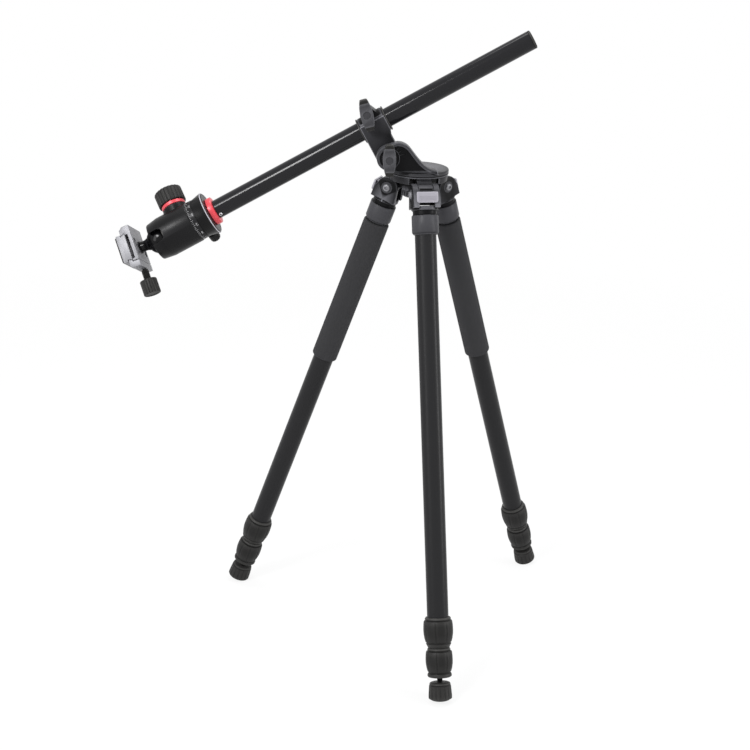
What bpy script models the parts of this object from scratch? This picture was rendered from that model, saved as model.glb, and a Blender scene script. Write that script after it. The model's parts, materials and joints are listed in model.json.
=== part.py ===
# Photo tripod with a tilting centre column, a ball head and a quick-release clamp.
# Metres, +Z up. The legs meet the floor at z = 0 and the whole part is centred on the Z axis.
import math

import bmesh
import bpy
from mathutils import Vector

# Fits
GAP = 0.0003  # between pieces that touch
MERGE = 0.00001
EDGE = 0.0004  # smallest step or chamfer
ROUND_LARGE = 24  # sides of a tube or a casing
ROUND_SMALL = 12  # sides of a bolt or a small knob

# Legs
LEG_NAMES = ("front", "left", "right")
LEG_AZIMUTHS = {"front": 0.0, "left": -120.0, "right": 120.0}
LEG_SPREAD = math.radians(19.45)  # each leg from the vertical, as photographed
LEG_PIVOT_RADIUS = 0.0379
UPPER_TUBE_RADIUS = 0.014
MIDDLE_TUBE_RADIUS = 0.012
LOWER_TUBE_RADIUS = 0.010
TUBE_WALL = 0.0013
UPPER_LOCK_AT = 0.548  # down the leg from its pivot
UPPER_LOCK_LENGTH = 0.0395
UPPER_LOCK_RADIUS = 0.0194
LOWER_LOCK_LENGTH = 0.038
LOWER_LOCK_RADIUS = 0.01775
SECTION_OVERLAP = 0.055  # tube kept inside its lock when a section is fully out
SECTION_TRAVEL = 0.380
SECTION_GRIP_SHARE = 0.4  # of a lock's length that holds the tube above it
SPINDLE_SHOWN = 0.0072  # between the lower lock and the foot
SPINDLE_PLUG = 0.020  # inside the lower tube
FOOT_HEIGHT = 0.0255
FOOT_RADIUS = 0.01535
SOLE_DOME_RADIUS = 0.032
SOLE_FLAT_DEPTH = 0.0004
SPINDLE_RADIUS = 0.0037
GRIP_START = 0.054
GRIP_LENGTH = 0.213
GRIP_RADIUS = 0.0175
GRIPPED_LEGS = ("left", "right")

# Leg bracket, its latch and its bolt
BRACKET_HALF_WIDTH = 0.0175
BRACKET_EYE_RADIUS = 0.0145
BRACKET_HALF_DEPTH = 0.0173
BRACKET_BODY_START = 0.0160
SLEEVE_START = 0.0255
SLEEVE_END = 0.052
SLEEVE_RADIUS = 0.0175
LATCH_HALF_WIDTH = 0.014
LATCH_HEIGHT = 0.014
LATCH_THICKNESS = 0.0028
LATCH_TOP = 0.002  # above the pivot
BOLT_RADIUS = 0.0032
BOLT_HEAD_RADIUS = 0.0047
BOLT_HEAD_HEIGHT = 0.0026

# Hub
LUG_HALF_WIDTH = 0.0097
LUG_NOSE_RADIUS = 0.0136
HUB_TOP = 0.0202  # above the leg pivots
HUB_PLATE_THICKNESS = 0.008
HUB_PLATE_RADIUS = 0.038
HUB_BARREL_RADIUS = 0.0238
HUB_BARREL_BOTTOM = -0.0006
LEG_SWING_CLEARANCE = 0.0215  # cleared round each pivot for the bracket and the latch

# Turntable, with the cheek that carries the column's pivot
TURNTABLE_YAW = math.radians(-8.5)
TURNTABLE_RADIUS = 0.0392
TURNTABLE_THICKNESS = 0.007
COLUMN_RADIUS = 0.0125
COLUMN_WALL = 0.0015
COLUMN_BORE_CLEARANCE = 0.0009
SPIGOT_WALL = 0.0041
SPIGOT_BOTTOM = -0.0098
LOCK_RING_RADIUS = 0.0222
LOCK_RING_TOP = -0.0012
LOCK_RING_GROOVE = 0.0008
LOCK_RING_RIBS = 20
PIVOT_OFFSET = 0.0415  # from the hub axis, and from the pivot to the column's axis
PIVOT_HEIGHT = 0.0458  # above the leg pivots
CHEEK_OUTER = 0.036  # near face of the cheek, from the column's plane
CHEEK_THICKNESS = 0.0176
CHEEK_BOSS_RADIUS = 0.016
HUMP_RADIUS = 0.0204
HUMP_SHIFT = 0.0115  # hump's centre from the pivot, towards the hub axis
SHOULDER_ANGLE = math.radians(40.0)  # round the hump, where the cheek's slope leaves it
SLOPE_PULL = 0.050  # how far the slope keeps its heading at each end
CHEEK_TOE = 0.022  # far end of the cheek's slope, past the hub axis
CHEEK_TOE_HEIGHT = 0.0035
PIVOT_BOLT_RADIUS = 0.004

# Collar, bush and column
COLUMN_TILT = math.radians(29.9)  # from the horizontal, as photographed
ARM_NEAR = 0.0181
ARM_FAR = 0.002
ARM_HALF_WIDTH = 0.016
COLLAR_HEAD_SIDE = 0.0155
COLLAR_FREE_SIDE = 0.019
COLLAR_RADIUS = 0.0165
COLLAR_SHOULDER = 0.008  # past the column's axis
EAR_SPAN = 0.0205  # column's axis to the clamp screw
EAR_SHIFT = 0.001  # clamp screw towards the free end
EAR_RADIUS = 0.0085
EAR_OUTER = 0.0125
SLIT_HALF = 0.0013
CLAMP_SCREW_RADIUS = 0.003
BUSH_WALL = 0.0016
BUSH_FLANGE_RADIUS = 0.0168
BUSH_FLANGE_THICKNESS = 0.0016
COLUMN_FREE_LENGTH = 0.230  # from the pivot's foot on the column to the free end
COLUMN_HEAD_LENGTH = 0.234
END_CAP_THICKNESS = 0.003

# Wing knobs
WING_LENGTH = 0.0415
WING_WIDTH = 0.0168
WING_TIP_WIDTH = 0.0095
WING_THICKNESS = 0.0085
WING_BOSS_RADIUS = 0.0072
WING_BOSS_LENGTH = 0.005
UPPER_WING_TURN = math.radians(15.8)  # its long axis from the collar's length, as photographed
ARM_WING_STANDOFF = 0.0185

# Ball head, measured along the column's axis from the column's end
TOP_DISC_RADIUS = 0.0185
TOP_DISC_THICKNESS = 0.0075
BASE_RADIUS = 0.02925
BASE_NECK_RADIUS = 0.0262
BASE_THICKNESS = 0.0158
SCALE_RADIUS = 0.0267
SCALE_THICKNESS = 0.0095
HOUSING_RADIUS = 0.0275
HOUSING_LENGTH = 0.059
HOUSING_FRONT_RADIUS = 0.0252
BALL_RADIUS = 0.0188
BALL_BEHIND_RIM = 0.008
BALL_CUP_WALL = 0.0022
NOTCH_HALF_WIDTH = 0.0088
NOTCH_DEPTH = 0.020
NOTCH_ANGLE = math.radians(26.0)  # above the near side
MAIN_KNOB_ANGLE = math.radians(35.0)  # from the upper side towards the far side
MAIN_KNOB_FORWARD = 0.017  # from the seam
MAIN_BOSS_RADIUS = 0.0165
MAIN_BOSS_REACH = 0.0305
RED_RING_THICKNESS = 0.005
RED_RING_RADIUS = 0.0162
MAIN_KNOB_RADIUS = 0.0187
MAIN_KNOB_LENGTH = 0.020
MAIN_KNOB_RIBS = 22
KNOB_GROOVE = 0.0008
PAN_KNOB_ANGLE = math.radians(33.0)  # from the lower side towards the far side
PAN_KNOB_SHIFT = 0.0005  # from the scale's start
PAN_KNOB_RADIUS = 0.0072
PAN_KNOB_REACH = 0.045
PAN_KNOB_LENGTH = 0.012
PAN_KNOB_RIBS = 12
PAN_KNOB_GROOVE = 0.0006
SET_SCREW_RADIUS = 0.0022
SET_SCREW_ANGLE = math.radians(-118.0)  # round the column from its upper side, on the near side
MAIN_SHAFT_RADIUS = 0.004
MAIN_SHAFT_END = 0.018  # from the head's axis
PAN_SHAFT_RADIUS = 0.003
PAN_SHAFT_END = 0.020
HOUSING_TAPER_LENGTH = 0.016
CUP_RIM_DEPTH = 0.009  # below the ball's centre

# Stem, clamp and quick-release plate
BALL_TILT_DIRECTION = math.radians(22.0)  # from the upper side towards the far side
BALL_TILT = math.radians(6.3)
CLAMP_TURN = math.radians(-151.6)
STEM_RADIUS = 0.0073
BALL_FLAT_SHARE = 0.9
STEM_REACH = 0.030  # ball centre to the clamp's underside
CLAMP_FLOOR = 0.0085  # thickness under the dovetail
CLAMP_THICKNESS = 0.0145
CLAMP_LENGTH = 0.050  # along the dovetail
CLAMP_FIXED_SIDE = 0.0285
CLAMP_JAW_SIDE = 0.029
JAW_THICKNESS = 0.0085
DOVETAIL_HALF = 0.0165
DOVETAIL_FLARE = 0.0025
PLATE_HALF_WIDTH = 0.01875
PLATE_THICKNESS = 0.0065
PLATE_LENGTH = 0.050
PAD_THICKNESS = 0.0015
JAW_SCREW_RADIUS = 0.005
JAW_SCREW_LENGTH = 0.016
JAW_KNOB_RADIUS = 0.0115
JAW_KNOB_LENGTH = 0.020
JAW_KNOB_RIBS = 16
JAW_SCREW_CORE = 0.0026
JAW_SCREW_END = 0.006  # from the stem's axis
JAW_TRAVEL = 0.0015
JAW_SCREW_CLEARANCE = 0.0012  # between the open jaw and the screw's thick part
SCREW_HEAD_RADIUS = 0.0075
SCREW_HEAD_THICKNESS = 0.0025
CAMERA_SCREW_RADIUS = 0.0031
CAMERA_SCREW_STAND = 0.0045

# Worked out from the sizes above
LOWER_LOCK_AT = UPPER_LOCK_AT + UPPER_LOCK_LENGTH + GAP
LOWER_LOCK_END = LOWER_LOCK_AT + LOWER_LOCK_LENGTH
FOOT_TOP = LOWER_LOCK_END + SPINDLE_SHOWN
LEG_LENGTH = FOOT_TOP + FOOT_HEIGHT  # pivot to the sole
UPPER_SEAT = UPPER_LOCK_LENGTH * SECTION_GRIP_SHARE
LOWER_SEAT = LOWER_LOCK_LENGTH * SECTION_GRIP_SHARE
SOLE_CENTRE = LEG_LENGTH - SOLE_DOME_RADIUS
FLOOR = -(SOLE_CENTRE * math.cos(LEG_SPREAD) + SOLE_DOME_RADIUS - SOLE_FLAT_DEPTH)
SOLE_RADIUS_ON_FLOOR = LEG_PIVOT_RADIUS + SOLE_CENTRE * math.sin(LEG_SPREAD)
TURNTABLE_BOTTOM = HUB_TOP + GAP
TURNTABLE_TOP = TURNTABLE_BOTTOM + TURNTABLE_THICKNESS
COLUMN_BORE_RADIUS = COLUMN_RADIUS + COLUMN_BORE_CLEARANCE
SPIGOT_RADIUS = COLUMN_BORE_RADIUS + SPIGOT_WALL
CHEEK_INNER = CHEEK_OUTER - CHEEK_THICKNESS
BUSH_RADIUS = COLUMN_RADIUS + GAP + BUSH_WALL
BASE_START = COLUMN_HEAD_LENGTH + TOP_DISC_THICKNESS + GAP
SCALE_START = BASE_START + BASE_THICKNESS
HOUSING_START = SCALE_START + SCALE_THICKNESS + GAP
HOUSING_END = HOUSING_START + HOUSING_LENGTH
BALL_AT = HOUSING_END - BALL_BEHIND_RIM
MOUTH_RADIUS = math.sqrt(BALL_RADIUS**2 - BALL_BEHIND_RIM**2) + 2 * GAP
CUP_RADIUS = BALL_RADIUS + GAP + BALL_CUP_WALL


def clear_scene():
    for old in list(bpy.data.objects):
        bpy.data.objects.remove(old, do_unlink=True)


def new_collection(name):
    collection = bpy.data.collections.new(name)
    bpy.context.scene.collection.children.link(collection)
    return collection


def finish_material(name, colour, roughness, metallic=0.0):
    material = bpy.data.materials.new(name)
    material.use_nodes = True
    shader = material.node_tree.nodes["Principled BSDF"]
    shader.inputs["Base Color"].default_value = (*colour, 1.0)
    shader.inputs["Roughness"].default_value = roughness
    shader.inputs["Metallic"].default_value = metallic
    material.diffuse_color = (*colour, 1.0)
    return material


clear_scene()
PARTS = new_collection("tripod")
CUTTERS = new_collection("cutters")
SATIN_BLACK = finish_material("satin_black", (0.012, 0.012, 0.014), 0.35, 0.3)
GLOSS_BLACK = finish_material("gloss_black", (0.006, 0.006, 0.007), 0.12, 0.2)
CAST_BLACK = finish_material("cast_black", (0.016, 0.015, 0.017), 0.45, 0.2)
RUBBER = finish_material("rubber", (0.022, 0.019, 0.018), 0.8)
FOAM = finish_material("foam", (0.035, 0.035, 0.038), 0.95)
GREY_KNOB = finish_material("grey_knob", (0.075, 0.075, 0.085), 0.55)
TITANIUM = finish_material("titanium", (0.34, 0.34, 0.36), 0.4, 0.8)
STEEL = finish_material("steel", (0.6, 0.6, 0.62), 0.25, 1.0)
RED = finish_material("red", (0.62, 0.03, 0.05), 0.3, 0.3)


def place(obj, parent, location=(0, 0, 0), rotation=(0, 0, 0)):
    obj.parent = parent
    obj.location = location
    obj.rotation_euler = rotation
    return obj


def empty(name, parent=None, location=(0, 0, 0), rotation=(0, 0, 0)):
    guide = bpy.data.objects.new(name, None)
    PARTS.objects.link(guide)
    return place(guide, parent, location, rotation)


def add_object(name, mesh, material=None):
    obj = bpy.data.objects.new(name, mesh)
    PARTS.objects.link(obj)
    if material:
        mesh.materials.append(material)
    return obj


def to_cutter(obj):
    """Moves an object to the cutters, where it only shapes another."""
    PARTS.objects.unlink(obj)
    CUTTERS.objects.link(obj)
    obj.hide_render = True
    obj.display_type = "WIRE"
    return obj


def boolean(obj, tool, operation):
    modifier = obj.modifiers.new(operation.lower(), "BOOLEAN")
    modifier.operation = operation
    modifier.solver = "EXACT"
    modifier.object = to_cutter(tool)
    return obj


def cut(obj, *tools):
    for tool in tools:
        boolean(obj, tool, "DIFFERENCE")
    return obj


def join(obj, *tools):
    for tool in tools:
        boolean(obj, tool, "UNION")
    return obj


def turned(name, profile, material=None, sides=ROUND_LARGE):
    """A profile of (radius, height) points, outer side top to bottom, turned about Z.

    A profile that starts and ends on the axis makes a solid, and any other is a closed loop.
    """
    mesh = bpy.data.meshes.new(name)
    points = [(radius, 0.0, height) for radius, height in profile]
    edges = [(i, i + 1) for i in range(len(points) - 1)]
    if profile[0][0] > 0:
        edges.append((len(points) - 1, 0))
    mesh.from_pydata(points, edges, [])
    obj = add_object(name, mesh, material)
    screw = obj.modifiers.new("turn", "SCREW")
    screw.steps = sides
    screw.render_steps = sides
    screw.use_merge_vertices = True
    screw.merge_threshold = MERGE
    return obj


def rod(name, radius, top, bottom, material=None, sides=ROUND_SMALL):
    return turned(name, [(0, top), (radius, top), (radius, bottom), (0, bottom)], material, sides)


def ring(name, outer, inner, top, bottom, material=None, sides=ROUND_LARGE):
    profile = [(outer, top), (outer, bottom), (inner, bottom), (inner, top)]
    return turned(name, profile, material, sides)


def block(name, low, high, material=None, bevel=0.0):
    low, high = Vector(low), Vector(high)
    bm = bmesh.new()
    bmesh.ops.create_cube(bm, size=1.0)
    bmesh.ops.scale(bm, vec=high - low, verts=bm.verts)
    bmesh.ops.translate(bm, vec=(low + high) / 2, verts=bm.verts)
    mesh = bpy.data.meshes.new(name)
    bm.to_mesh(mesh)
    bm.free()
    obj = add_object(name, mesh, material)
    if bevel:
        add_bevel(obj, bevel)
    return obj


def add_bevel(obj, width, segments=1, angle=math.radians(40)):
    bevel = obj.modifiers.new("edge", "BEVEL")
    bevel.width = width
    bevel.segments = segments
    bevel.limit_method = "ANGLE"
    bevel.angle_limit = angle
    return obj


def slab(name, outline, low, high, material=None):
    """A flat outline of (x, y) points, filled and extruded along Z from low to high."""
    curve = bpy.data.curves.new(name, "CURVE")
    curve.dimensions = "2D"
    curve.fill_mode = "BOTH"
    curve.extrude = (high - low) / 2
    spline = curve.splines.new("POLY")
    spline.points.add(len(outline) - 1)
    for point, (x, y) in zip(spline.points, outline):
        point.co = (x, y, 0.0, 1.0)
    spline.use_cyclic_u = True
    shape = bpy.data.objects.new(name, curve)
    PARTS.objects.link(shape)
    bpy.context.view_layer.update()
    evaluated = shape.evaluated_get(bpy.context.evaluated_depsgraph_get())
    mesh = bpy.data.meshes.new_from_object(evaluated)
    bpy.data.objects.remove(shape, do_unlink=True)
    bm = bmesh.new()
    bm.from_mesh(mesh)
    bmesh.ops.remove_doubles(bm, verts=bm.verts, dist=MERGE)
    bmesh.ops.translate(bm, vec=(0, 0, (low + high) / 2), verts=bm.verts)
    bmesh.ops.recalc_face_normals(bm, faces=bm.faces)
    bm.to_mesh(mesh)
    bm.free()
    mesh.materials.clear()
    mesh.name = name
    return add_object(name, mesh, material)


def arc(centre, radius, start, end, steps):
    """Points on an arc about a centre; the angles are in degrees."""
    angles = [math.radians(start + (end - start) * i / steps) for i in range(steps + 1)]
    return [(centre[0] + radius * math.cos(a), centre[1] + radius * math.sin(a)) for a in angles]


def ribbed(radius, depth, ribs):
    """The outline of a round knob with shallow grooves between its ribs."""
    outline = []
    for i in range(ribs):
        turn = 2 * math.pi * i / ribs
        for share, reach in ((0.0, radius), (0.5, radius), (0.62, radius - depth), (0.88, radius - depth)):
            angle = turn + share * 2 * math.pi / ribs
            outline.append((reach * math.cos(angle), reach * math.sin(angle)))
    return outline


def s_curve(start, heading, end, pull, steps):
    """An S-shaped run of points that leaves one corner along a heading and reaches the other level."""
    points = []
    for i in range(steps + 1):
        t = i / steps
        ease = t * t * (3 - 2 * t)
        leaving = pull * t * (1 - t) ** 2
        arriving = pull * t * t * (t - 1)
        x = start[0] + (end[0] - start[0]) * ease + leaving * math.cos(heading) + arriving
        y = start[1] + (end[1] - start[1]) * ease + leaving * math.sin(heading)
        points.append((x, y))
    return points


SIDEWAYS = (0, math.radians(90), 0)  # local Z to X
AWAY = (math.radians(-90), 0, 0)  # local Z to Y
UPRIGHT = (math.radians(90), 0, math.radians(90))  # local X, Y to Y, Z


# Hub
def leg_side(name, parent, azimuth):
    return empty(name, parent, rotation=(0, 0, math.radians(azimuth)))


def make_hub(frame):
    plate_bottom = HUB_TOP - HUB_PLATE_THICKNESS
    bore = SPIGOT_RADIUS + GAP
    hub = turned(
        "hub",
        [
            (HUB_PLATE_RADIUS, HUB_TOP),
            (HUB_PLATE_RADIUS, plate_bottom),
            (HUB_BARREL_RADIUS, plate_bottom),
            (HUB_BARREL_RADIUS, HUB_BARREL_BOTTOM),
            (bore, HUB_BARREL_BOTTOM),
            (bore, HUB_TOP),
        ],
        CAST_BLACK,
    )
    place(hub, frame)
    lug_inner = bore + GAP
    for name in LEG_NAMES:
        side = leg_side("hub_" + name + "_side", frame, LEG_AZIMUTHS[name])
        scallop = rod("scallop", LEG_SWING_CLEARANCE, BRACKET_HALF_WIDTH + 0.002, -BRACKET_HALF_WIDTH - 0.002)
        place(scallop, side, (0, -LEG_PIVOT_RADIUS, 0), SIDEWAYS)
        cut(hub, scallop)
    for name in LEG_NAMES:
        side = leg_side("lug_" + name + "_side", frame, LEG_AZIMUTHS[name])
        underside = HUB_BARREL_BOTTOM + EDGE / 2
        outline = [(-lug_inner, HUB_TOP - GAP), (-lug_inner, underside)]
        outline += [(-LOCK_RING_RADIUS - EDGE, underside)]
        outline += arc((-LEG_PIVOT_RADIUS, 0), LUG_NOSE_RADIUS, 300, 90, 10)
        outline += [(-LEG_PIVOT_RADIUS + 0.006, HUB_TOP - GAP)]
        lug = slab("lug", outline, -LUG_HALF_WIDTH, LUG_HALF_WIDTH)
        place(lug, side, rotation=UPRIGHT)
        join(hub, lug)
    for name in LEG_NAMES:
        side = leg_side("bolt_hole_" + name + "_side", frame, LEG_AZIMUTHS[name])
        hole = rod("bolt_hole", BOLT_RADIUS + GAP, LUG_HALF_WIDTH * 2, -LUG_HALF_WIDTH * 2)
        place(hole, side, (0, -LEG_PIVOT_RADIUS, 0), SIDEWAYS)
        cut(hub, hole)
    return hub


def make_leg_bolts(frame):
    """One bolt through each bracket, with a domed head at one end and a cap nut at the other."""
    face = BRACKET_HALF_WIDTH + GAP
    crown = face + BOLT_HEAD_HEIGHT
    half = [(0, crown), (BOLT_HEAD_RADIUS * 0.6, crown - 0.0004), (BOLT_HEAD_RADIUS, face + 0.0009)]
    half += [(BOLT_HEAD_RADIUS, face), (BOLT_RADIUS, face)]
    profile = half + [(radius, -height) for radius, height in reversed(half)]
    for name in LEG_NAMES:
        side = leg_side("bolt_" + name + "_side", frame, LEG_AZIMUTHS[name])
        bolt = turned(name + "_leg_bolt", profile, STEEL, ROUND_SMALL)
        place(bolt, side, (0, -LEG_PIVOT_RADIUS, 0), SIDEWAYS)


# Legs
def make_bracket(name, leg):
    """Two cheeks round the hub's lug, and the sleeve that holds the upper tube."""
    sleeve_bore = UPPER_TUBE_RADIUS + GAP
    body = turned(
        name + "_leg_bracket",
        [
            (0, -BRACKET_BODY_START),
            (BRACKET_HALF_WIDTH, -BRACKET_BODY_START),
            (BRACKET_HALF_WIDTH, -BRACKET_BODY_START - 0.004),
            (BRACKET_HALF_WIDTH - 0.0015, -BRACKET_BODY_START - 0.0048),
            (BRACKET_HALF_WIDTH - 0.0015, -SLEEVE_START + 0.0008),
            (SLEEVE_RADIUS, -SLEEVE_START),
            (SLEEVE_RADIUS, -SLEEVE_END + 0.0025),
            (sleeve_bore + 0.0012, -SLEEVE_END),
            (sleeve_bore, -SLEEVE_END),
            (sleeve_bore, -SLEEVE_START),
            (0, -SLEEVE_START),
        ],
        CAST_BLACK,
    )
    place(body, leg)
    top = arc((0, 0), BRACKET_EYE_RADIUS, 0, 168, 12)
    foot = -BRACKET_BODY_START - 0.002
    outline = top + [(-BRACKET_HALF_DEPTH, -0.004), (-BRACKET_HALF_DEPTH, foot)]
    outline += [(BRACKET_HALF_DEPTH, foot), (BRACKET_HALF_DEPTH, -BRACKET_BODY_START)]
    inner = LUG_HALF_WIDTH + GAP
    for low, high in ((inner, BRACKET_HALF_WIDTH), (-BRACKET_HALF_WIDTH, -inner)):
        cheek = slab("cheek", outline, low, high)
        join(body, place(cheek, leg, rotation=UPRIGHT))
    hole = rod("bolt_hole", BOLT_RADIUS + GAP, BRACKET_HALF_WIDTH * 2, -BRACKET_HALF_WIDTH * 2)
    cut(body, place(hole, leg, rotation=SIDEWAYS))


def make_latch(name, leg):
    """The pull latch on the bracket's outer face, with its tongue between the cheeks."""
    face = -BRACKET_HALF_DEPTH - GAP
    bottom = LATCH_TOP - LATCH_HEIGHT
    plate = block(
        name + "_angle_latch",
        (-LATCH_HALF_WIDTH, face - LATCH_THICKNESS, bottom),
        (LATCH_HALF_WIDTH, face, LATCH_TOP),
        TITANIUM,
    )
    place(plate, leg)
    half = LUG_HALF_WIDTH - GAP
    nose = -LUG_NOSE_RADIUS - 2 * GAP
    inset = LATCH_THICKNESS / 3
    neck = block("tongue", (-half, face - inset, bottom + inset), (half, nose, LATCH_TOP - inset))
    return join(plate, place(neck, leg))


def make_tube(name, leg, radius, start, end):
    tube = ring(name, radius, radius - TUBE_WALL, -start, -end, SATIN_BLACK)
    return place(tube, leg)


def make_grip(name, leg):
    bore = UPPER_TUBE_RADIUS + GAP
    end = GRIP_START + GRIP_LENGTH
    grip = turned(
        name + "_foam_grip",
        [
            (GRIP_RADIUS - 0.002, -GRIP_START),
            (GRIP_RADIUS, -GRIP_START - 0.002),
            (GRIP_RADIUS, -end + 0.002),
            (GRIP_RADIUS - 0.002, -end),
            (bore, -end),
            (bore, -GRIP_START),
        ],
        FOAM,
    )
    return place(grip, leg)


def make_lock(name, leg, start, length, radius, upper, lower):
    """A twist lock: it grips the tube above and lets the thinner one below slide."""
    end = start + length
    seat = start + length * SECTION_GRIP_SHARE
    lock = turned(
        name,
        [
            (upper + 0.0006 + GAP, -start),
            (radius - 0.001, -start - 0.006),
            (radius, -start - 0.009),
            (radius, -start - length * 0.55),
            (lower + 0.0032, -end),
            (lower + GAP, -end),
            (lower + GAP, -seat),
            (upper + GAP, -seat),
        ],
        RUBBER,
    )
    return place(lock, leg)


def make_foot(name, leg, side):
    rim = FOOT_RADIUS - 0.0023
    sole_edge = math.asin(rim / SOLE_DOME_RADIUS)
    steps = 5
    dome = []
    for i in range(steps + 1):
        angle = sole_edge * (1 - i / steps)
        dome.append((SOLE_DOME_RADIUS * math.sin(angle), -SOLE_CENTRE - SOLE_DOME_RADIUS * math.cos(angle)))
    bore = SPINDLE_RADIUS + GAP
    bore_end = -FOOT_TOP - FOOT_HEIGHT * 0.55
    profile = [(0, bore_end), (bore, bore_end), (bore, -FOOT_TOP), (FOOT_RADIUS - 0.0028, -FOOT_TOP)]
    profile += [(FOOT_RADIUS - 0.0016, -FOOT_TOP - 0.002)]
    profile += [(FOOT_RADIUS, dome[0][1] + 0.008), (FOOT_RADIUS, dome[0][1] + 0.003)] + dome
    foot = turned(name + "_rubber_foot", profile, RUBBER)
    place(foot, leg)
    floor = block("floor_cut", (-0.04, -0.04, -0.02), (0.04, 0.04, 0))
    cut(foot, place(floor, side, (0, -SOLE_RADIUS_ON_FLOOR, FLOOR)))


def make_spindle(name, leg, lower_end):
    """The threaded spindle that plugs the lower tube and carries the foot."""
    plug = LOWER_TUBE_RADIUS - TUBE_WALL - GAP
    plug_start = lower_end - SPINDLE_PLUG
    tip = FOOT_TOP + FOOT_HEIGHT * 0.55 - 2 * GAP
    spindle = turned(
        name + "_foot_spindle",
        [
            (0, -plug_start),
            (plug, -plug_start),
            (plug, -lower_end + 0.002),
            (SPINDLE_RADIUS, -lower_end + 0.001),
            (SPINDLE_RADIUS, -tip),
            (0, -tip),
        ],
        CAST_BLACK,
        ROUND_SMALL,
    )
    return place(spindle, leg)


def make_leg(name, frame):
    side = leg_side(name + "_leg_side", frame, LEG_AZIMUTHS[name])
    leg = empty(name + "_leg", side, (0, -LEG_PIVOT_RADIUS, 0), (-LEG_SPREAD, 0, 0))
    make_bracket(name, leg)
    make_latch(name, leg)
    upper_end = UPPER_LOCK_AT + UPPER_SEAT
    middle_end = LOWER_LOCK_AT + LOWER_SEAT
    kept_inside = SECTION_OVERLAP + SECTION_TRAVEL
    lower_end = LOWER_LOCK_END - EDGE
    make_tube(name + "_upper_tube", leg, UPPER_TUBE_RADIUS, SLEEVE_START + GAP, upper_end - GAP)
    make_tube(name + "_middle_tube", leg, MIDDLE_TUBE_RADIUS, upper_end - kept_inside, middle_end - GAP)
    make_tube(name + "_lower_tube", leg, LOWER_TUBE_RADIUS, middle_end - kept_inside, lower_end)
    if name in GRIPPED_LEGS:
        make_grip(name, leg)
    upper = (UPPER_LOCK_AT, UPPER_LOCK_LENGTH, UPPER_LOCK_RADIUS)
    lower = (LOWER_LOCK_AT, LOWER_LOCK_LENGTH, LOWER_LOCK_RADIUS)
    make_lock(name + "_upper_lock", leg, *upper, UPPER_TUBE_RADIUS, MIDDLE_TUBE_RADIUS)
    make_lock(name + "_lower_lock", leg, *lower, MIDDLE_TUBE_RADIUS, LOWER_TUBE_RADIUS)
    make_spindle(name, leg, lower_end)
    make_foot(name, leg, side)


# Turntable and its lock ring
def cheek_outline():
    """The cheek's side view: a boss round the pivot, a hump beside it and a long S-shaped slope."""
    pivot = (-PIVOT_OFFSET, PIVOT_HEIGHT)
    hump = (-PIVOT_OFFSET + HUMP_SHIFT, PIVOT_HEIGHT)
    base = TURNTABLE_TOP - TURNTABLE_THICKNESS / 2
    toe = (CHEEK_TOE, TURNTABLE_TOP + CHEEK_TOE_HEIGHT)
    shoulder = arc(hump, HUMP_RADIUS, math.degrees(SHOULDER_ANGLE), 96, 8)
    slope = s_curve(shoulder[0], SHOULDER_ANGLE - math.radians(90), toe, SLOPE_PULL, 11)[:0:-1]
    boss = arc(pivot, CHEEK_BOSS_RADIUS, 112, 250, 12)
    return [(CHEEK_TOE + 0.002, base)] + slope + shoulder + boss + [(-PIVOT_OFFSET + 0.012, base)]


def make_turntable(turntable):
    edge = 0.001
    body = turned(
        "turntable",
        [
            (TURNTABLE_RADIUS - edge, TURNTABLE_TOP),
            (TURNTABLE_RADIUS, TURNTABLE_TOP - edge),
            (TURNTABLE_RADIUS, TURNTABLE_BOTTOM + edge),
            (TURNTABLE_RADIUS - edge, TURNTABLE_BOTTOM),
            (SPIGOT_RADIUS, TURNTABLE_BOTTOM),
            (SPIGOT_RADIUS, SPIGOT_BOTTOM),
            (COLUMN_BORE_RADIUS, SPIGOT_BOTTOM),
            (COLUMN_BORE_RADIUS, TURNTABLE_TOP),
        ],
        CAST_BLACK,
        ROUND_LARGE + 8,
    )
    place(body, turntable)
    cheek = slab("cheek_wall", cheek_outline(), CHEEK_INNER, CHEEK_OUTER)
    join(body, place(cheek, turntable, rotation=(math.radians(90), 0, 0)))
    hole = rod("pivot_hole", PIVOT_BOLT_RADIUS + GAP, 2 * CHEEK_OUTER, 0)
    cut(body, place(hole, turntable, (-PIVOT_OFFSET, 0, PIVOT_HEIGHT), (math.radians(90), 0, 0)))
    outline = ribbed(LOCK_RING_RADIUS, LOCK_RING_GROOVE, LOCK_RING_RIBS)
    lock_ring = slab("turntable_lock_ring", outline, SPIGOT_BOTTOM, LOCK_RING_TOP, CAST_BLACK)
    bore = rod("ring_bore", SPIGOT_RADIUS + GAP, 0.01, -0.02, sides=ROUND_LARGE)
    cut(place(lock_ring, turntable), place(bore, turntable))


def wing_outline():
    """A barrel-shaped wing, wide in the middle, with narrow blunt tips."""
    steps = 6
    side = []
    for i in range(steps + 1):
        t = 2 * i / steps - 1
        half = WING_TIP_WIDTH / 2 + (WING_WIDTH - WING_TIP_WIDTH) / 2 * (1 - t * t)
        side.append((half, t * WING_LENGTH / 2))
    return side + [(-x, -y) for x, y in side]


def make_wing_knob(name, parent, location, rotation, bolt_radius, bolt_length):
    """A wing knob facing the near side, with its bolt running away from it."""
    knob = slab(name, wing_outline(), -WING_BOSS_LENGTH - WING_THICKNESS, -WING_BOSS_LENGTH, GREY_KNOB)
    place(knob, parent, location, rotation)
    profile = [
        (0, bolt_length),
        (bolt_radius, bolt_length),
        (bolt_radius, 0),
        (WING_BOSS_RADIUS, 0),
        (WING_BOSS_RADIUS, -WING_BOSS_LENGTH - 0.001),
        (0, -WING_BOSS_LENGTH - 0.001),
    ]
    shank = turned("shank", profile, sides=ROUND_SMALL)
    return join(knob, place(shank, parent, location, rotation))


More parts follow.
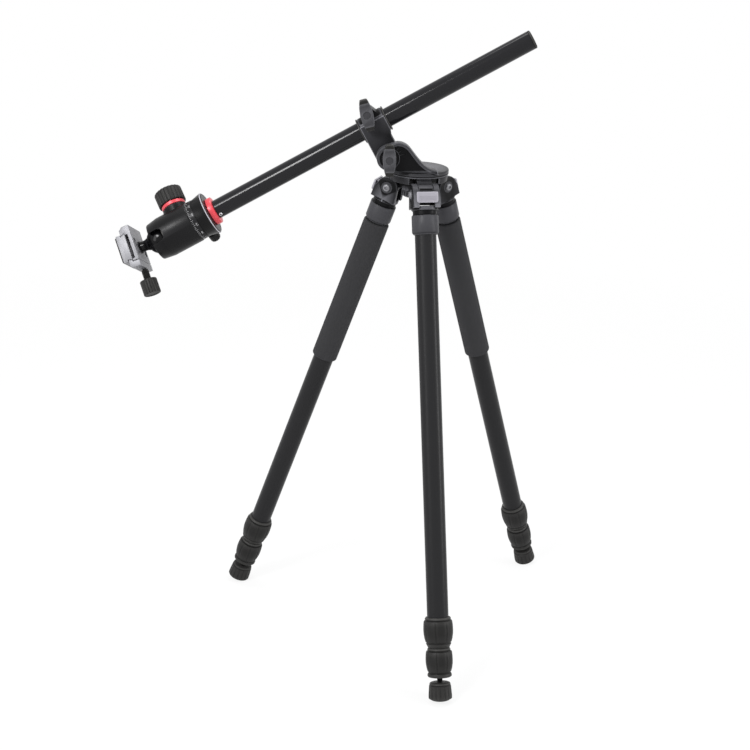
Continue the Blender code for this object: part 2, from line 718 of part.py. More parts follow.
# Collar: its local X runs from the pivot to the column, and its local Z towards the head
def collar_outline():
    axis = PIVOT_OFFSET
    side = arc((0, 0), ARM_HALF_WIDTH, 92, 268, 14)
    corner = [(axis - 0.020, -ARM_HALF_WIDTH), (axis - 0.012, -COLLAR_FREE_SIDE)]
    top = [(axis + COLLAR_SHOULDER, -COLLAR_FREE_SIDE), (axis + COLLAR_SHOULDER, COLLAR_HEAD_SIDE)]
    return side + corner + top


def ear_outline():
    axis = PIVOT_OFFSET
    tip = arc((axis + EAR_SPAN, -EAR_SHIFT), EAR_RADIUS, -75, 80, 8)
    return [(axis + 0.004, 2 * EDGE - COLLAR_FREE_SIDE)] + tip + [(axis + 0.004, COLLAR_HEAD_SIDE - 2 * EDGE)]


def make_collar(collar):
    axis = PIVOT_OFFSET
    flat = (math.radians(90), 0, 0)  # local X, Y to X, Z, and local Z to -Y
    body = slab("column_collar", collar_outline(), -ARM_FAR, ARM_NEAR, CAST_BLACK)
    place(body, collar, rotation=flat)
    barrel = rod("barrel", COLLAR_RADIUS, COLLAR_HEAD_SIDE - EDGE, EDGE - COLLAR_FREE_SIDE, sides=ROUND_LARGE)
    join(body, place(barrel, collar, (axis, 0, 0)))
    ears = slab("ears", ear_outline(), -EAR_OUTER, EAR_OUTER)
    join(body, place(ears, collar, rotation=flat))
    bore = rod("bore", BUSH_RADIUS + GAP, 0.05, -0.05, sides=ROUND_LARGE)
    slit = block("slit", (axis - 0.003, -SLIT_HALF, -0.05), (axis + 0.06, SLIT_HALF, 0.05))
    pivot_hole = rod("pivot_hole", PIVOT_BOLT_RADIUS + GAP, 0.05, -0.05)
    screw_hole = rod("screw_hole", CLAMP_SCREW_RADIUS + GAP, 0.05, -0.05)
    cut(
        body,
        place(slit, collar),
        place(pivot_hole, collar, rotation=AWAY),
        place(screw_hole, collar, (axis + EAR_SPAN, 0, -EAR_SHIFT), AWAY),
        place(bore, collar, (axis, 0, 0)),
    )


def make_bush(column):
    inner = COLUMN_RADIUS + GAP
    head = COLLAR_HEAD_SIDE + GAP
    free = -COLLAR_FREE_SIDE - GAP
    bush = turned(
        "column_bush",
        [
            (BUSH_FLANGE_RADIUS, head + BUSH_FLANGE_THICKNESS),
            (BUSH_FLANGE_RADIUS, head),
            (BUSH_RADIUS, head),
            (BUSH_RADIUS, free),
            (BUSH_FLANGE_RADIUS, free),
            (BUSH_FLANGE_RADIUS, free - BUSH_FLANGE_THICKNESS),
            (inner, free - BUSH_FLANGE_THICKNESS),
            (inner, head + BUSH_FLANGE_THICKNESS),
        ],
        RUBBER,
    )
    place(bush, column)


def make_column(column):
    inner = COLUMN_RADIUS - COLUMN_WALL
    head_end = COLUMN_HEAD_LENGTH - GAP
    tube = ring("column_tube", COLUMN_RADIUS, inner, head_end, -COLUMN_FREE_LENGTH, GLOSS_BLACK)
    place(tube, column)
    cap_face = -COLUMN_FREE_LENGTH - GAP
    plug = inner - GAP
    cap = turned(
        "column_end_cap",
        [
            (0, cap_face + 0.012),
            (plug, cap_face + 0.012),
            (plug, cap_face),
            (COLUMN_RADIUS, cap_face),
            (COLUMN_RADIUS - 0.0006, cap_face - END_CAP_THICKNESS),
            (0, cap_face - END_CAP_THICKNESS),
        ],
        CAST_BLACK,
    )
    place(cap, column)


# Ball head: the column's local Z points from the column into the head
def make_head_base(column):
    disc = ring("column_top_disc", TOP_DISC_RADIUS, 0.0045, BASE_START - GAP, COLUMN_HEAD_LENGTH, RED)
    place(disc, column)
    bevel = 0.0016
    scale_end = SCALE_START + SCALE_THICKNESS
    base = turned(
        "head_base",
        [
            (0, scale_end),
            (SCALE_RADIUS, scale_end),
            (SCALE_RADIUS, SCALE_START + 0.0004),
            (BASE_NECK_RADIUS, SCALE_START),
            (BASE_RADIUS, BASE_START + bevel),
            (BASE_RADIUS - bevel, BASE_START),
            (0.0042, BASE_START),
            (0.0042, COLUMN_HEAD_LENGTH + GAP),
            (0, COLUMN_HEAD_LENGTH + GAP),
        ],
        SATIN_BLACK,
        ROUND_LARGE + 8,
    )
    place(base, column)
    knob_at = (0, 0, SCALE_START + PAN_KNOB_SHIFT)
    pan_side = empty("pan_knob_side", column, knob_at, (0, 0, math.pi - PAN_KNOB_ANGLE))
    start = PAN_KNOB_REACH - PAN_KNOB_LENGTH
    outline = ribbed(PAN_KNOB_RADIUS, PAN_KNOB_GROOVE, PAN_KNOB_RIBS)
    pan = slab("pan_lock_knob", outline, start, PAN_KNOB_REACH, SATIN_BLACK)
    stem = rod("pan_shaft", PAN_SHAFT_RADIUS, start + PAN_KNOB_LENGTH / 2, PAN_SHAFT_END)
    place(pan, pan_side, rotation=SIDEWAYS)
    join(pan, place(stem, pan_side, rotation=SIDEWAYS))
    pan_bore = rod("pan_bore", PAN_SHAFT_RADIUS + GAP, 0.05, PAN_SHAFT_END - GAP)
    cut(base, place(pan_bore, pan_side, rotation=SIDEWAYS))
    screw_side = empty("set_screw_side", column, (0, 0, COLUMN_HEAD_LENGTH - 0.004), (0, 0, SET_SCREW_ANGLE))
    inside = COLUMN_RADIUS - COLUMN_WALL - 0.001
    screw = rod("column_set_screw", SET_SCREW_RADIUS, COLUMN_RADIUS + 0.0005, inside, STEEL, 12)
    place(screw, screw_side, rotation=SIDEWAYS)
    tapped = rod("tapped_hole", SET_SCREW_RADIUS + GAP, 2 * COLUMN_RADIUS, COLUMN_RADIUS / 2, sides=12)
    cut(bpy.data.objects["column_tube"], place(tapped, screw_side, rotation=SIDEWAYS))


def make_housing(head):
    """The casing, open at its mouth round the ball and notched at one side for a right-angle tilt."""
    housing = turned(
        "head_housing",
        [
            (0, HOUSING_END),
            (HOUSING_FRONT_RADIUS - 0.001, HOUSING_END),
            (HOUSING_FRONT_RADIUS, HOUSING_END - 0.001),
            (HOUSING_RADIUS, HOUSING_END - HOUSING_TAPER_LENGTH),
            (HOUSING_RADIUS, HOUSING_START + 0.0006),
            (HOUSING_RADIUS - 0.0006, HOUSING_START),
            (0, HOUSING_START),
        ],
        SATIN_BLACK,
        ROUND_LARGE + 8,
    )
    place(housing, head)
    knob_at = (0, 0, HOUSING_START + MAIN_KNOB_FORWARD)
    knob_side = empty("main_knob_side", head, knob_at, (0, 0, MAIN_KNOB_ANGLE))
    boss = rod("main_boss", MAIN_BOSS_RADIUS, MAIN_BOSS_REACH, HOUSING_RADIUS * 0.5, sides=ROUND_LARGE)
    join(housing, place(boss, knob_side, rotation=SIDEWAYS))
    cup = CUP_RADIUS + GAP
    mouth_end = HOUSING_END + 0.01
    cavity = turned(
        "cavity",
        [
            (0, mouth_end),
            (MOUTH_RADIUS, mouth_end),
            (MOUTH_RADIUS, HOUSING_END - 0.0008),
            (cup, BALL_AT + 0.0005),
            (cup, BALL_AT - cup),
            (0, BALL_AT - cup),
        ],
        sides=ROUND_LARGE + 8,
    )
    bore = rod("main_bore", MAIN_SHAFT_RADIUS + GAP, 0.05, MAIN_SHAFT_END - GAP)
    notch_side = empty("notch_side", head, (0, 0, 0), (0, 0, NOTCH_ANGLE - math.pi / 2))
    bottom = HOUSING_END - NOTCH_DEPTH + NOTCH_HALF_WIDTH
    outline = arc((0, bottom), NOTCH_HALF_WIDTH, 180, 360, 10)
    outline += [(NOTCH_HALF_WIDTH, HOUSING_END + 0.01), (-NOTCH_HALF_WIDTH, HOUSING_END + 0.01)]
    notch = slab("notch", outline, BALL_RADIUS / 2, 2 * HOUSING_RADIUS)
    cut(
        housing,
        place(cavity, head),
        place(bore, knob_side, rotation=SIDEWAYS),
        place(notch, notch_side, rotation=UPRIGHT),
    )
    return knob_side


def make_main_knob(knob_side):
    ring_start = MAIN_BOSS_REACH + GAP
    ring_end = ring_start + RED_RING_THICKNESS
    red = ring("main_knob_ring", RED_RING_RADIUS, MAIN_SHAFT_RADIUS + GAP, ring_end, ring_start, RED)
    place(red, knob_side, rotation=SIDEWAYS)
    start = ring_end + GAP
    outline = ribbed(MAIN_KNOB_RADIUS, KNOB_GROOVE, MAIN_KNOB_RIBS)
    knob = slab("main_lock_knob", outline, start, start + MAIN_KNOB_LENGTH, RUBBER)
    shaft = rod("main_shaft", MAIN_SHAFT_RADIUS, start + MAIN_KNOB_LENGTH / 2, MAIN_SHAFT_END)
    place(knob, knob_side, rotation=SIDEWAYS)
    join(knob, place(shaft, knob_side, rotation=SIDEWAYS))


def make_ball_cup(head):
    """The seat under the ball, which turns with it."""
    bowl = BALL_RADIUS + GAP
    edge = math.asin(math.sqrt(bowl**2 - CUP_RIM_DEPTH**2) / bowl)
    steps = 6
    profile = []
    for i in range(steps + 1):
        angle = edge * i / steps
        profile.append((bowl * math.sin(angle), BALL_AT - bowl * math.cos(angle)))
    bottom = BALL_AT - CUP_RADIUS
    profile += [(CUP_RADIUS, BALL_AT - CUP_RIM_DEPTH), (CUP_RADIUS, bottom), (0, bottom)]
    place(turned("ball_cup", profile, RUBBER), head)


# Clamp: its local Z runs outwards along the stem, local X towards the jaw screw's knob
def make_ball(clamp):
    flat = BALL_RADIUS * BALL_FLAT_SHARE
    top = math.acos(BALL_FLAT_SHARE)
    steps = 14
    profile = [(0, flat)]
    for i in range(steps + 1):
        angle = top + (math.pi - top) * i / steps
        profile.append((BALL_RADIUS * math.sin(angle), BALL_RADIUS * math.cos(angle)))
    profile[-1] = (0, -BALL_RADIUS)
    place(turned("ball", profile, GLOSS_BLACK), clamp)
    stem_start = flat + GAP
    stem = turned(
        "ball_stem",
        [
            (0, STEM_REACH - GAP),
            (STEM_RADIUS, STEM_REACH - GAP),
            (STEM_RADIUS, stem_start + 0.003),
            (STEM_RADIUS + 0.0012, stem_start),
            (0, stem_start),
        ],
        GLOSS_BLACK,
        ROUND_LARGE,
    )
    place(stem, clamp)


def make_clamp(clamp):
    floor = STEM_REACH + CLAMP_FLOOR
    top = STEM_REACH + CLAMP_THICKNESS
    split = CLAMP_JAW_SIDE - JAW_THICKNESS
    along = (math.radians(90), 0, 0)  # local X, Y to X, Z, extruded along Y
    half = CLAMP_LENGTH / 2
    body_outline = [
        (split - GAP - JAW_TRAVEL / 5, STEM_REACH),
        (split - GAP - JAW_TRAVEL / 5, floor),
        (-DOVETAIL_HALF - DOVETAIL_FLARE, floor),
        (-DOVETAIL_HALF, top),
        (-CLAMP_FIXED_SIDE + 0.004, top),
        (-CLAMP_FIXED_SIDE, top - 0.005),
        (-CLAMP_FIXED_SIDE, STEM_REACH),
    ]
    body = slab("clamp_body", body_outline, -half, half, TITANIUM)
    place(body, clamp, rotation=along)
    screw_z = STEM_REACH + CLAMP_FLOOR / 2
    bore = rod("screw_bore", JAW_SCREW_CORE + GAP, 0.05, JAW_SCREW_END - GAP)
    cut(body, place(bore, clamp, (0, 0, screw_z), SIDEWAYS))
    jaw_outline = [
        (split, STEM_REACH),
        (CLAMP_JAW_SIDE, STEM_REACH),
        (CLAMP_JAW_SIDE, top - 0.003),
        (CLAMP_JAW_SIDE - 0.003, top),
        (DOVETAIL_HALF, top),
        (DOVETAIL_HALF + DOVETAIL_FLARE, floor + GAP),
        (split, floor + GAP),
    ]
    jaw = slab("clamp_jaw", jaw_outline, -half, half, TITANIUM)
    place(jaw, clamp, rotation=along)
    jaw_bore = rod("jaw_bore", JAW_SCREW_CORE + GAP, 0.05, 0)
    cut(jaw, place(jaw_bore, clamp, (0, 0, screw_z), SIDEWAYS))
    start = CLAMP_JAW_SIDE + JAW_SCREW_LENGTH
    thick_end = CLAMP_JAW_SIDE + JAW_TRAVEL + JAW_SCREW_CLEARANCE
    outline = ribbed(JAW_KNOB_RADIUS, KNOB_GROOVE, JAW_KNOB_RIBS)
    knob = slab("clamp_knob", outline, start, start + JAW_KNOB_LENGTH, RUBBER)
    shaft = turned(
        "jaw_screw",
        [
            (0, start + JAW_KNOB_LENGTH / 2),
            (JAW_SCREW_RADIUS, start + JAW_KNOB_LENGTH / 2),
            (JAW_SCREW_RADIUS, thick_end),
            (JAW_SCREW_CORE, thick_end),
            (JAW_SCREW_CORE, JAW_SCREW_END),
            (0, JAW_SCREW_END),
        ],
        sides=ROUND_SMALL,
    )
    place(knob, clamp, (0, 0, screw_z), SIDEWAYS)
    join(knob, place(shaft, clamp, (0, 0, screw_z), SIDEWAYS))


def make_plate(clamp):
    """The quick-release plate in its dovetail, its rubber pad and the screw for a camera."""
    low = STEM_REACH + CLAMP_FLOOR + GAP
    lips = STEM_REACH + CLAMP_THICKNESS
    shoulder = lips + GAP
    top = shoulder + PLATE_THICKNESS
    slope = DOVETAIL_FLARE / (CLAMP_THICKNESS - CLAMP_FLOOR)
    wide = DOVETAIL_HALF + DOVETAIL_FLARE - 2 * GAP
    narrow = wide - slope * (shoulder - low)
    side = [(wide, low), (narrow, shoulder), (PLATE_HALF_WIDTH, shoulder + EDGE), (PLATE_HALF_WIDTH, top)]
    outline = side + [(-x, z) for x, z in reversed(side)]
    half = PLATE_LENGTH / 2
    along = (math.radians(90), 0, 0)
    plate = slab("quick_release_plate", outline, -half, half, TITANIUM)
    place(plate, clamp, rotation=along)
    hole = CAMERA_SCREW_RADIUS + GAP
    recess = SCREW_HEAD_RADIUS + GAP
    recess_top = low + SCREW_HEAD_THICKNESS + 2 * GAP
    bore = turned(
        "camera_screw_bore",
        [(0, 2 * top), (hole, 2 * top), (hole, recess_top), (recess, recess_top), (recess, 0), (0, 0)],
        sides=ROUND_SMALL,
    )
    cut(plate, place(bore, clamp))
    pad_top = top + GAP + PAD_THICKNESS
    inset = 0.0012
    pad = block(
        "plate_pad",
        (-PLATE_HALF_WIDTH + inset, -half + inset, top + GAP),
        (PLATE_HALF_WIDTH - inset, half - inset, pad_top),
        RUBBER,
    )
    place(pad, clamp)
    pad_hole = rod("pad_hole", CAMERA_SCREW_RADIUS + GAP, 0.1, 0)
    cut(pad, place(pad_hole, clamp))
    screw = turned(
        "camera_screw",
        [
            (0, pad_top + CAMERA_SCREW_STAND),
            (CAMERA_SCREW_RADIUS - 0.0006, pad_top + CAMERA_SCREW_STAND),
            (CAMERA_SCREW_RADIUS, pad_top + CAMERA_SCREW_STAND - 0.0006),
            (CAMERA_SCREW_RADIUS, low + SCREW_HEAD_THICKNESS),
            (SCREW_HEAD_RADIUS, low + SCREW_HEAD_THICKNESS),
            (SCREW_HEAD_RADIUS, low + GAP),
            (0, low + GAP),
        ],
        STEEL,
        ROUND_SMALL,
    )
    place(screw, clamp)


def settle(root):
    """Moves the whole part so that its box is centred on the Z axis and stands on z = 0."""
    bpy.context.view_layer.update()
    graph = bpy.context.evaluated_depsgraph_get()
    corners = []
    for obj in PARTS.objects:
        if obj.type == "MESH":
            shape = obj.evaluated_get(graph)
            corners += [obj.matrix_world @ vertex.co for vertex in shape.data.vertices]
    low = Vector([min(corner[i] for corner in corners) for i in range(3)])
    high = Vector([max(corner[i] for corner in corners) for i in range(3)])
    middle = (low + high) / 2
    root.location = root.location - Vector((middle.x, middle.y, low.z))
    bpy.context.view_layer.update()


def main():
    root = empty("tripod_origin")
    frame = empty("leg_pivot_plane", root, (0, 0, -FLOOR))
    make_hub(frame)
    make_leg_bolts(frame)
    for name in LEG_NAMES:
        make_leg(name, frame)
    turntable = empty("turntable_axis", frame, rotation=(0, 0, TURNTABLE_YAW))
    make_turntable(turntable)
    knob_at = (-PIVOT_OFFSET, -CHEEK_OUTER - GAP, PIVOT_HEIGHT)
    make_wing_knob("tilt_lock_knob", turntable, knob_at, AWAY, PIVOT_BOLT_RADIUS, CHEEK_OUTER + ARM_FAR)
    tilt = (0, -math.radians(90) - COLUMN_TILT, 0)
    pivot = empty("tilt_axis", turntable, (-PIVOT_OFFSET, 0, PIVOT_HEIGHT), tilt)
    make_collar(pivot)
    clamp_at = (PIVOT_OFFSET + EAR_SPAN, -ARM_WING_STANDOFF, -EAR_SHIFT)
    wing_turn = (math.radians(-90), math.radians(90) + UPPER_WING_TURN, 0)
    screw_length = ARM_WING_STANDOFF + EAR_OUTER
    make_wing_knob("column_clamp_knob", pivot, clamp_at, wing_turn, CLAMP_SCREW_RADIUS, screw_length)
    column = empty("column_axis", pivot, (PIVOT_OFFSET, 0, 0))
    make_bush(column)
    make_column(column)
    make_head_base(column)
    head = empty("head_axis", column)
    make_main_knob(make_housing(head))
    make_ball_cup(head)
    swivel = empty("ball_swivel_axis", head, (0, 0, BALL_AT), (0, 0, BALL_TILT_DIRECTION))
    tilt = empty("ball_tilt_axis", swivel, rotation=(0, BALL_TILT, 0))
    clamp = empty("clamp_axis", tilt, rotation=(0, 0, CLAMP_TURN - BALL_TILT_DIRECTION))
    make_ball(clamp)
    make_clamp(clamp)
    make_plate(clamp)
    settle(root)


main()
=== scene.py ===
"""Photo tripod: the finished look of its legs, turntable, tilting column, ball head and clamp."""

import json
import math

import bmesh
import bpy
from bpy.props import FloatProperty, FloatVectorProperty, IntProperty, PointerProperty
from mathutils import Euler, Matrix, Vector

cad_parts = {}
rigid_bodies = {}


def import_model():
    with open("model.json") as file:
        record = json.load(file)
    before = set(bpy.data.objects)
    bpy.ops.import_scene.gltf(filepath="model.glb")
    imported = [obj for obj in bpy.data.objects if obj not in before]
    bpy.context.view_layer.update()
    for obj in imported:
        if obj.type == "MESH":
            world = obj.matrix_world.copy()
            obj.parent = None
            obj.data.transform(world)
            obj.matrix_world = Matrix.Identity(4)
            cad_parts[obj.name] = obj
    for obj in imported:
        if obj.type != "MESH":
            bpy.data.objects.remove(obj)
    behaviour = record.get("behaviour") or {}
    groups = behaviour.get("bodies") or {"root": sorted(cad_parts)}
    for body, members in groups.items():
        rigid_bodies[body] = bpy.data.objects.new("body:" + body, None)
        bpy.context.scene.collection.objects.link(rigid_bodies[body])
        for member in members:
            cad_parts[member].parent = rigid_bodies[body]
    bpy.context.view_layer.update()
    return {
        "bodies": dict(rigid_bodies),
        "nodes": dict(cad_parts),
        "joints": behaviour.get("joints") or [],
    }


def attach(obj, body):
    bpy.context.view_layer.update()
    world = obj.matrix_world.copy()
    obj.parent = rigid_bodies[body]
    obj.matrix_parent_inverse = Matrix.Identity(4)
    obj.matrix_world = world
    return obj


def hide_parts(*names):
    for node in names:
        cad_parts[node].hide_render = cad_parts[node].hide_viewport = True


bl_info = {
    "name": "Photo Tripod",
    "version": (1, 0, 0),
    "blender": (4, 5, 0),
    "location": "View3D > Sidebar > Tripod",
    "description": "Dresses the packed model of a photo tripod with finished pieces and materials",
    "category": "Object",
}

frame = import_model()
nodes = frame["nodes"]
joints = {joint["name"]: joint for joint in frame["joints"]}
LEGS = ("front", "left", "right")
# Gap between fitted pieces, and how far a cutter reaches past what it cuts
GAP = 0.0003
BEYOND = 0.01
FULL_TURN = math.tau
SMOOTH_ANGLE = math.radians(32.0)
WELD = 0.000002


# Places on the packed model, taken from its joints
def axes_at(place, up, right):
    """A local frame with its Z along up and its X along right."""
    up = Vector(up).normalized()
    right = Vector(right)
    right = (right - up * right.dot(up)).normalized()
    rotation = Matrix((right, up.cross(right), up)).transposed()
    return Matrix.Translation(place) @ rotation.to_4x4()


def leg_frame(leg):
    """At the leg's pivot, with Z up along the leg and -Y outwards."""
    swing = joints[leg + "_leg_swing"]
    return axes_at(swing["pos_m"], -Vector(joints[leg + "_middle_slide"]["axis"]), -Vector(swing["axis"]))


def turntable_frame():
    """On the hub's axis at the leg pivots' height, with Y across the column and away from the view."""
    turn = joints["turntable_turn"]
    away = Vector(joints["column_tilt"]["axis"])
    return axes_at(turn["pos_m"], turn["axis"], away.cross(Vector(turn["axis"])))


def collar_frame():
    """At the tilt pivot, with Z towards the head and X towards the column."""
    tilt = joints["column_tilt"]
    along = Vector(joints["column_turn"]["axis"])
    return axes_at(tilt["pos_m"], along, Vector(tilt["axis"]).cross(along))


def column_frame():
    """On the column's axis beside the tilt pivot, with Z towards the head."""
    pivot = collar_frame()
    return Matrix.Translation(Vector(joints["column_turn"]["pos_m"]) - pivot.translation) @ pivot


def ball_height(place):
    """The ball's centre along a local frame's Z."""
    return (place.inverted() @ Vector(joints["ball_swivel"]["pos_m"])).z


def clamp_frame():
    """At the ball's centre, with Z out along the stem and X towards the jaw's knob."""
    return axes_at(
        joints["ball_swivel"]["pos_m"], joints["clamp_spin"]["axis"], joints["jaw_slide"]["axis"]
    )


def knob_frame(joint_name):
    """On a knob's axis, with Z outwards along it."""
    joint = joints[joint_name]
    return axes_at(joint["pos_m"], joint["axis"], joints["column_turn"]["axis"])


def corners_of(node, place):
    """A packed node's points in a local frame."""
    to_local = place.inverted()
    return [to_local @ vertex.co for vertex in nodes[node].data.vertices]


def span(node, place):
    """A packed node's lowest and highest corner in a local frame."""
    corners = corners_of(node, place)
    low = Vector([min(corner[i] for corner in corners) for i in range(3)])
    high = Vector([max(corner[i] for corner in corners) for i in range(3)])
    return low, high


def girth(node, place, low=-math.inf, high=math.inf):
    """A packed node's largest radius about local Z between two heights."""
    return max(corner.xy.length for corner in corners_of(node, place) if low <= corner.z <= high)


def girth_at(node, place, level):
    """A packed node's radius about local Z at one height."""
    return girth(node, place, level - WELD, level + WELD)


def extent(node, place):
    """A packed node's lowest and highest corner and its radius in a local frame."""
    return *span(node, place), girth(node, place)


def home(node):
    """The body that a packed node belongs to."""
    return next(name for name, empty in frame["bodies"].items() if nodes[node].parent == empty)


# Modelling
def arc(centre, radius, start, end, steps):
    """Points on an arc about a centre; the angles are in degrees."""
    points = []
    for i in range(steps + 1):
        angle = math.radians(start + (end - start) * i / steps)
        points.append((centre[0] + radius * math.cos(angle), centre[1] + radius * math.sin(angle)))
    return points


def revolved(profile, steps=72):
    """A mesh turned about Z from (radius, height) points; off the axis they close into a ring."""
    bm = bmesh.new()
    chain = [bm.verts.new((radius, 0.0, height)) for radius, height in profile]
    edges = [bm.edges.new(pair) for pair in zip(chain, chain[1:])]
    if profile[0][0] > 0:
        edges.append(bm.edges.new((chain[-1], chain[0])))
    bmesh.ops.spin(
        bm, geom=chain + edges, cent=(0, 0, 0), axis=(0, 0, 1), angle=FULL_TURN, steps=steps, use_merge=True
    )
    bmesh.ops.remove_doubles(bm, verts=bm.verts, dist=WELD)
    bmesh.ops.recalc_face_normals(bm, faces=bm.faces)
    return bm


def extruded(outline, low, high):
    """A mesh from a flat outline of (x, y) points, extruded along Z."""
    bm = bmesh.new()
    face = bm.faces.new([bm.verts.new((x, y, low)) for x, y in outline])
    raised = bmesh.ops.extrude_face_region(bm, geom=[face])
    tops = [item for item in raised["geom"] if isinstance(item, bmesh.types.BMVert)]
    bmesh.ops.translate(bm, verts=tops, vec=(0, 0, high - low))
    bmesh.ops.recalc_face_normals(bm, faces=bm.faces)
    return bm


def box(low, high):
    bm = bmesh.new()
    bmesh.ops.create_cube(bm, size=1.0)
    bmesh.ops.scale(bm, verts=bm.verts, vec=Vector(high) - Vector(low))
    bmesh.ops.translate(bm, verts=bm.verts, vec=(Vector(low) + Vector(high)) / 2)
    return bm


def rounded(bm, width, segments=2, angle=SMOOTH_ANGLE):
    """Bevels every edge that is sharper than an angle."""
    sharp = [edge for edge in bm.edges if len(edge.link_faces) == 2 and edge.calc_face_angle(0.0) > angle]
    bmesh.ops.bevel(
        bm, geom=sharp, offset=width, offset_type="OFFSET", segments=segments, profile=0.5,
        affect="EDGES", clamp_overlap=True, material=-1,
    )
    return bm


def moved(bm, place):
    """A mesh with its points carried by a matrix."""
    bmesh.ops.transform(bm, matrix=place, verts=bm.verts)
    return bm


def merged(*meshes):
    """Several meshes in one."""
    whole = bmesh.new()
    for bm in meshes:
        held = bpy.data.meshes.new("held")
        bm.to_mesh(held)
        bm.free()
        whole.from_mesh(held)
        bpy.data.meshes.remove(held)
    return whole


def to_mesh(name, bm, angle=SMOOTH_ANGLE):
    mesh = bpy.data.meshes.new(name)
    bm.to_mesh(mesh)
    bm.free()
    mesh.shade_smooth()
    mesh.set_sharp_from_angle(angle=angle)
    return mesh


def carved(bm, *tools, operation="DIFFERENCE"):
    """A mesh with other meshes cut from it or joined to it."""
    piece = bpy.data.objects.new("carved", to_mesh("carved", bm))
    bpy.context.scene.collection.objects.link(piece)
    cutters = []
    for tool in tools:
        cutter = bpy.data.objects.new("cutter", to_mesh("cutter", tool))
        bpy.context.scene.collection.objects.link(cutter)
        modifier = piece.modifiers.new("carve", "BOOLEAN")
        modifier.operation = operation
        modifier.solver = "EXACT"
        modifier.object = cutter
        cutters.append(cutter)
    bpy.context.view_layer.update()
    evaluated = piece.evaluated_get(bpy.context.evaluated_depsgraph_get())
    result = bmesh.new()
    result.from_mesh(evaluated.to_mesh())
    evaluated.to_mesh_clear()
    for leftover in [piece, *cutters]:
        mesh = leftover.data
        bpy.data.objects.remove(leftover)
        bpy.data.meshes.remove(mesh)
    bmesh.ops.remove_doubles(result, verts=result.verts, dist=WELD)
    return result


def finish_piece(name, bm, place, body, material, slot, *replaced, angle=SMOOTH_ANGLE):
    """Sets a piece in its place on a body, for the packed nodes that it stands for."""
    moved(bm, place)
    piece = bpy.data.objects.new(name, to_mesh(name, bm, angle))
    bpy.context.scene.collection.objects.link(piece)
    piece.data.materials.append(material)
    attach(piece, body)
    if replaced:
        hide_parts(*replaced)


def dress(node, bm, place, look, slot, angle=SMOOTH_ANGLE):
    """The finished piece of one packed node, on that node's body."""
    finish_piece(node + "_finished", bm, place, home(node), finish(look), slot, node, angle=angle)


# Shader node groups
def new_group(name, inputs, outputs):
    """A shader node group with named sockets, and its input and output nodes."""
    group = bpy.data.node_groups.new(name, "ShaderNodeTree")
    for label, kind, value in inputs:
        socket = group.interface.new_socket(name=label, in_out="INPUT", socket_type=kind)
        if value is not None:
            socket.default_value = value
    for label, kind in outputs:
        group.interface.new_socket(name=label, in_out="OUTPUT", socket_type=kind)
    entry = group.nodes.new("NodeGroupInput")
    leave = group.nodes.new("NodeGroupOutput")
    return group, entry, leave


def math_node(tree, operation, first, second):
    """A Math node; each side is a socket or a number."""
    node = tree.nodes.new("ShaderNodeMath")
    node.operation = operation
    for socket, value in zip(node.inputs, (first, second)):
        if isinstance(value, bpy.types.NodeSocket):
            tree.links.new(value, socket)
        else:
            socket.default_value = value
    return node.outputs["Value"]


def mix_node(tree, factor, first, second):
    """A colour Mix node fed by sockets."""
    node = tree.nodes.new("ShaderNodeMix")
    node.data_type = "RGBA"
    tree.links.new(factor, node.inputs["Factor"])
    tree.links.new(first, node.inputs[6])
    tree.links.new(second, node.inputs[7])
    return node.outputs[2]


def grain_group():
    """Fine surface grain: a height for bumps and a mask for small shifts of gloss."""
    group, entry, leave = new_group(
        "Surface Grain",
        [
            ("Vector", "NodeSocketVector", None),
            ("Grain Scale", "NodeSocketFloat", 900.0),
            ("Cloud Scale", "NodeSocketFloat", 40.0),
        ],
        [("Height", "NodeSocketFloat"), ("Cloud", "NodeSocketFloat")],
    )
    fine = group.nodes.new("ShaderNodeTexNoise")
    fine.inputs["Detail"].default_value = 3.0
    fine.inputs["Roughness"].default_value = 0.6
    cloud = group.nodes.new("ShaderNodeTexNoise")
    cloud.inputs["Detail"].default_value = 4.0
    group.links.new(entry.outputs["Vector"], fine.inputs["Vector"])
    group.links.new(entry.outputs["Grain Scale"], fine.inputs["Scale"])
    group.links.new(entry.outputs["Vector"], cloud.inputs["Vector"])
    group.links.new(entry.outputs["Cloud Scale"], cloud.inputs["Scale"])
    group.links.new(fine.outputs["Fac"], leave.inputs["Height"])
    group.links.new(cloud.outputs["Fac"], leave.inputs["Cloud"])
    return group


def cell_group():
    """The height of the closed cells of foam."""
    group, entry, leave = new_group(
        "Foam Cells",
        [("Vector", "NodeSocketVector", None), ("Cell Scale", "NodeSocketFloat", 900.0)],
        [("Height", "NodeSocketFloat")],
    )
    cells = group.nodes.new("ShaderNodeTexVoronoi")
    cells.feature = "F1"
    speck = group.nodes.new("ShaderNodeTexNoise")
    speck.inputs["Detail"].default_value = 5.0
    group.links.new(entry.outputs["Vector"], cells.inputs["Vector"])
    group.links.new(entry.outputs["Cell Scale"], cells.inputs["Scale"])
    group.links.new(entry.outputs["Vector"], speck.inputs["Vector"])
    group.links.new(entry.outputs["Cell Scale"], speck.inputs["Scale"])
    height = math_node(group, "SUBTRACT", speck.outputs["Fac"], cells.outputs["Distance"])
    group.links.new(height, leave.inputs["Height"])
    return group


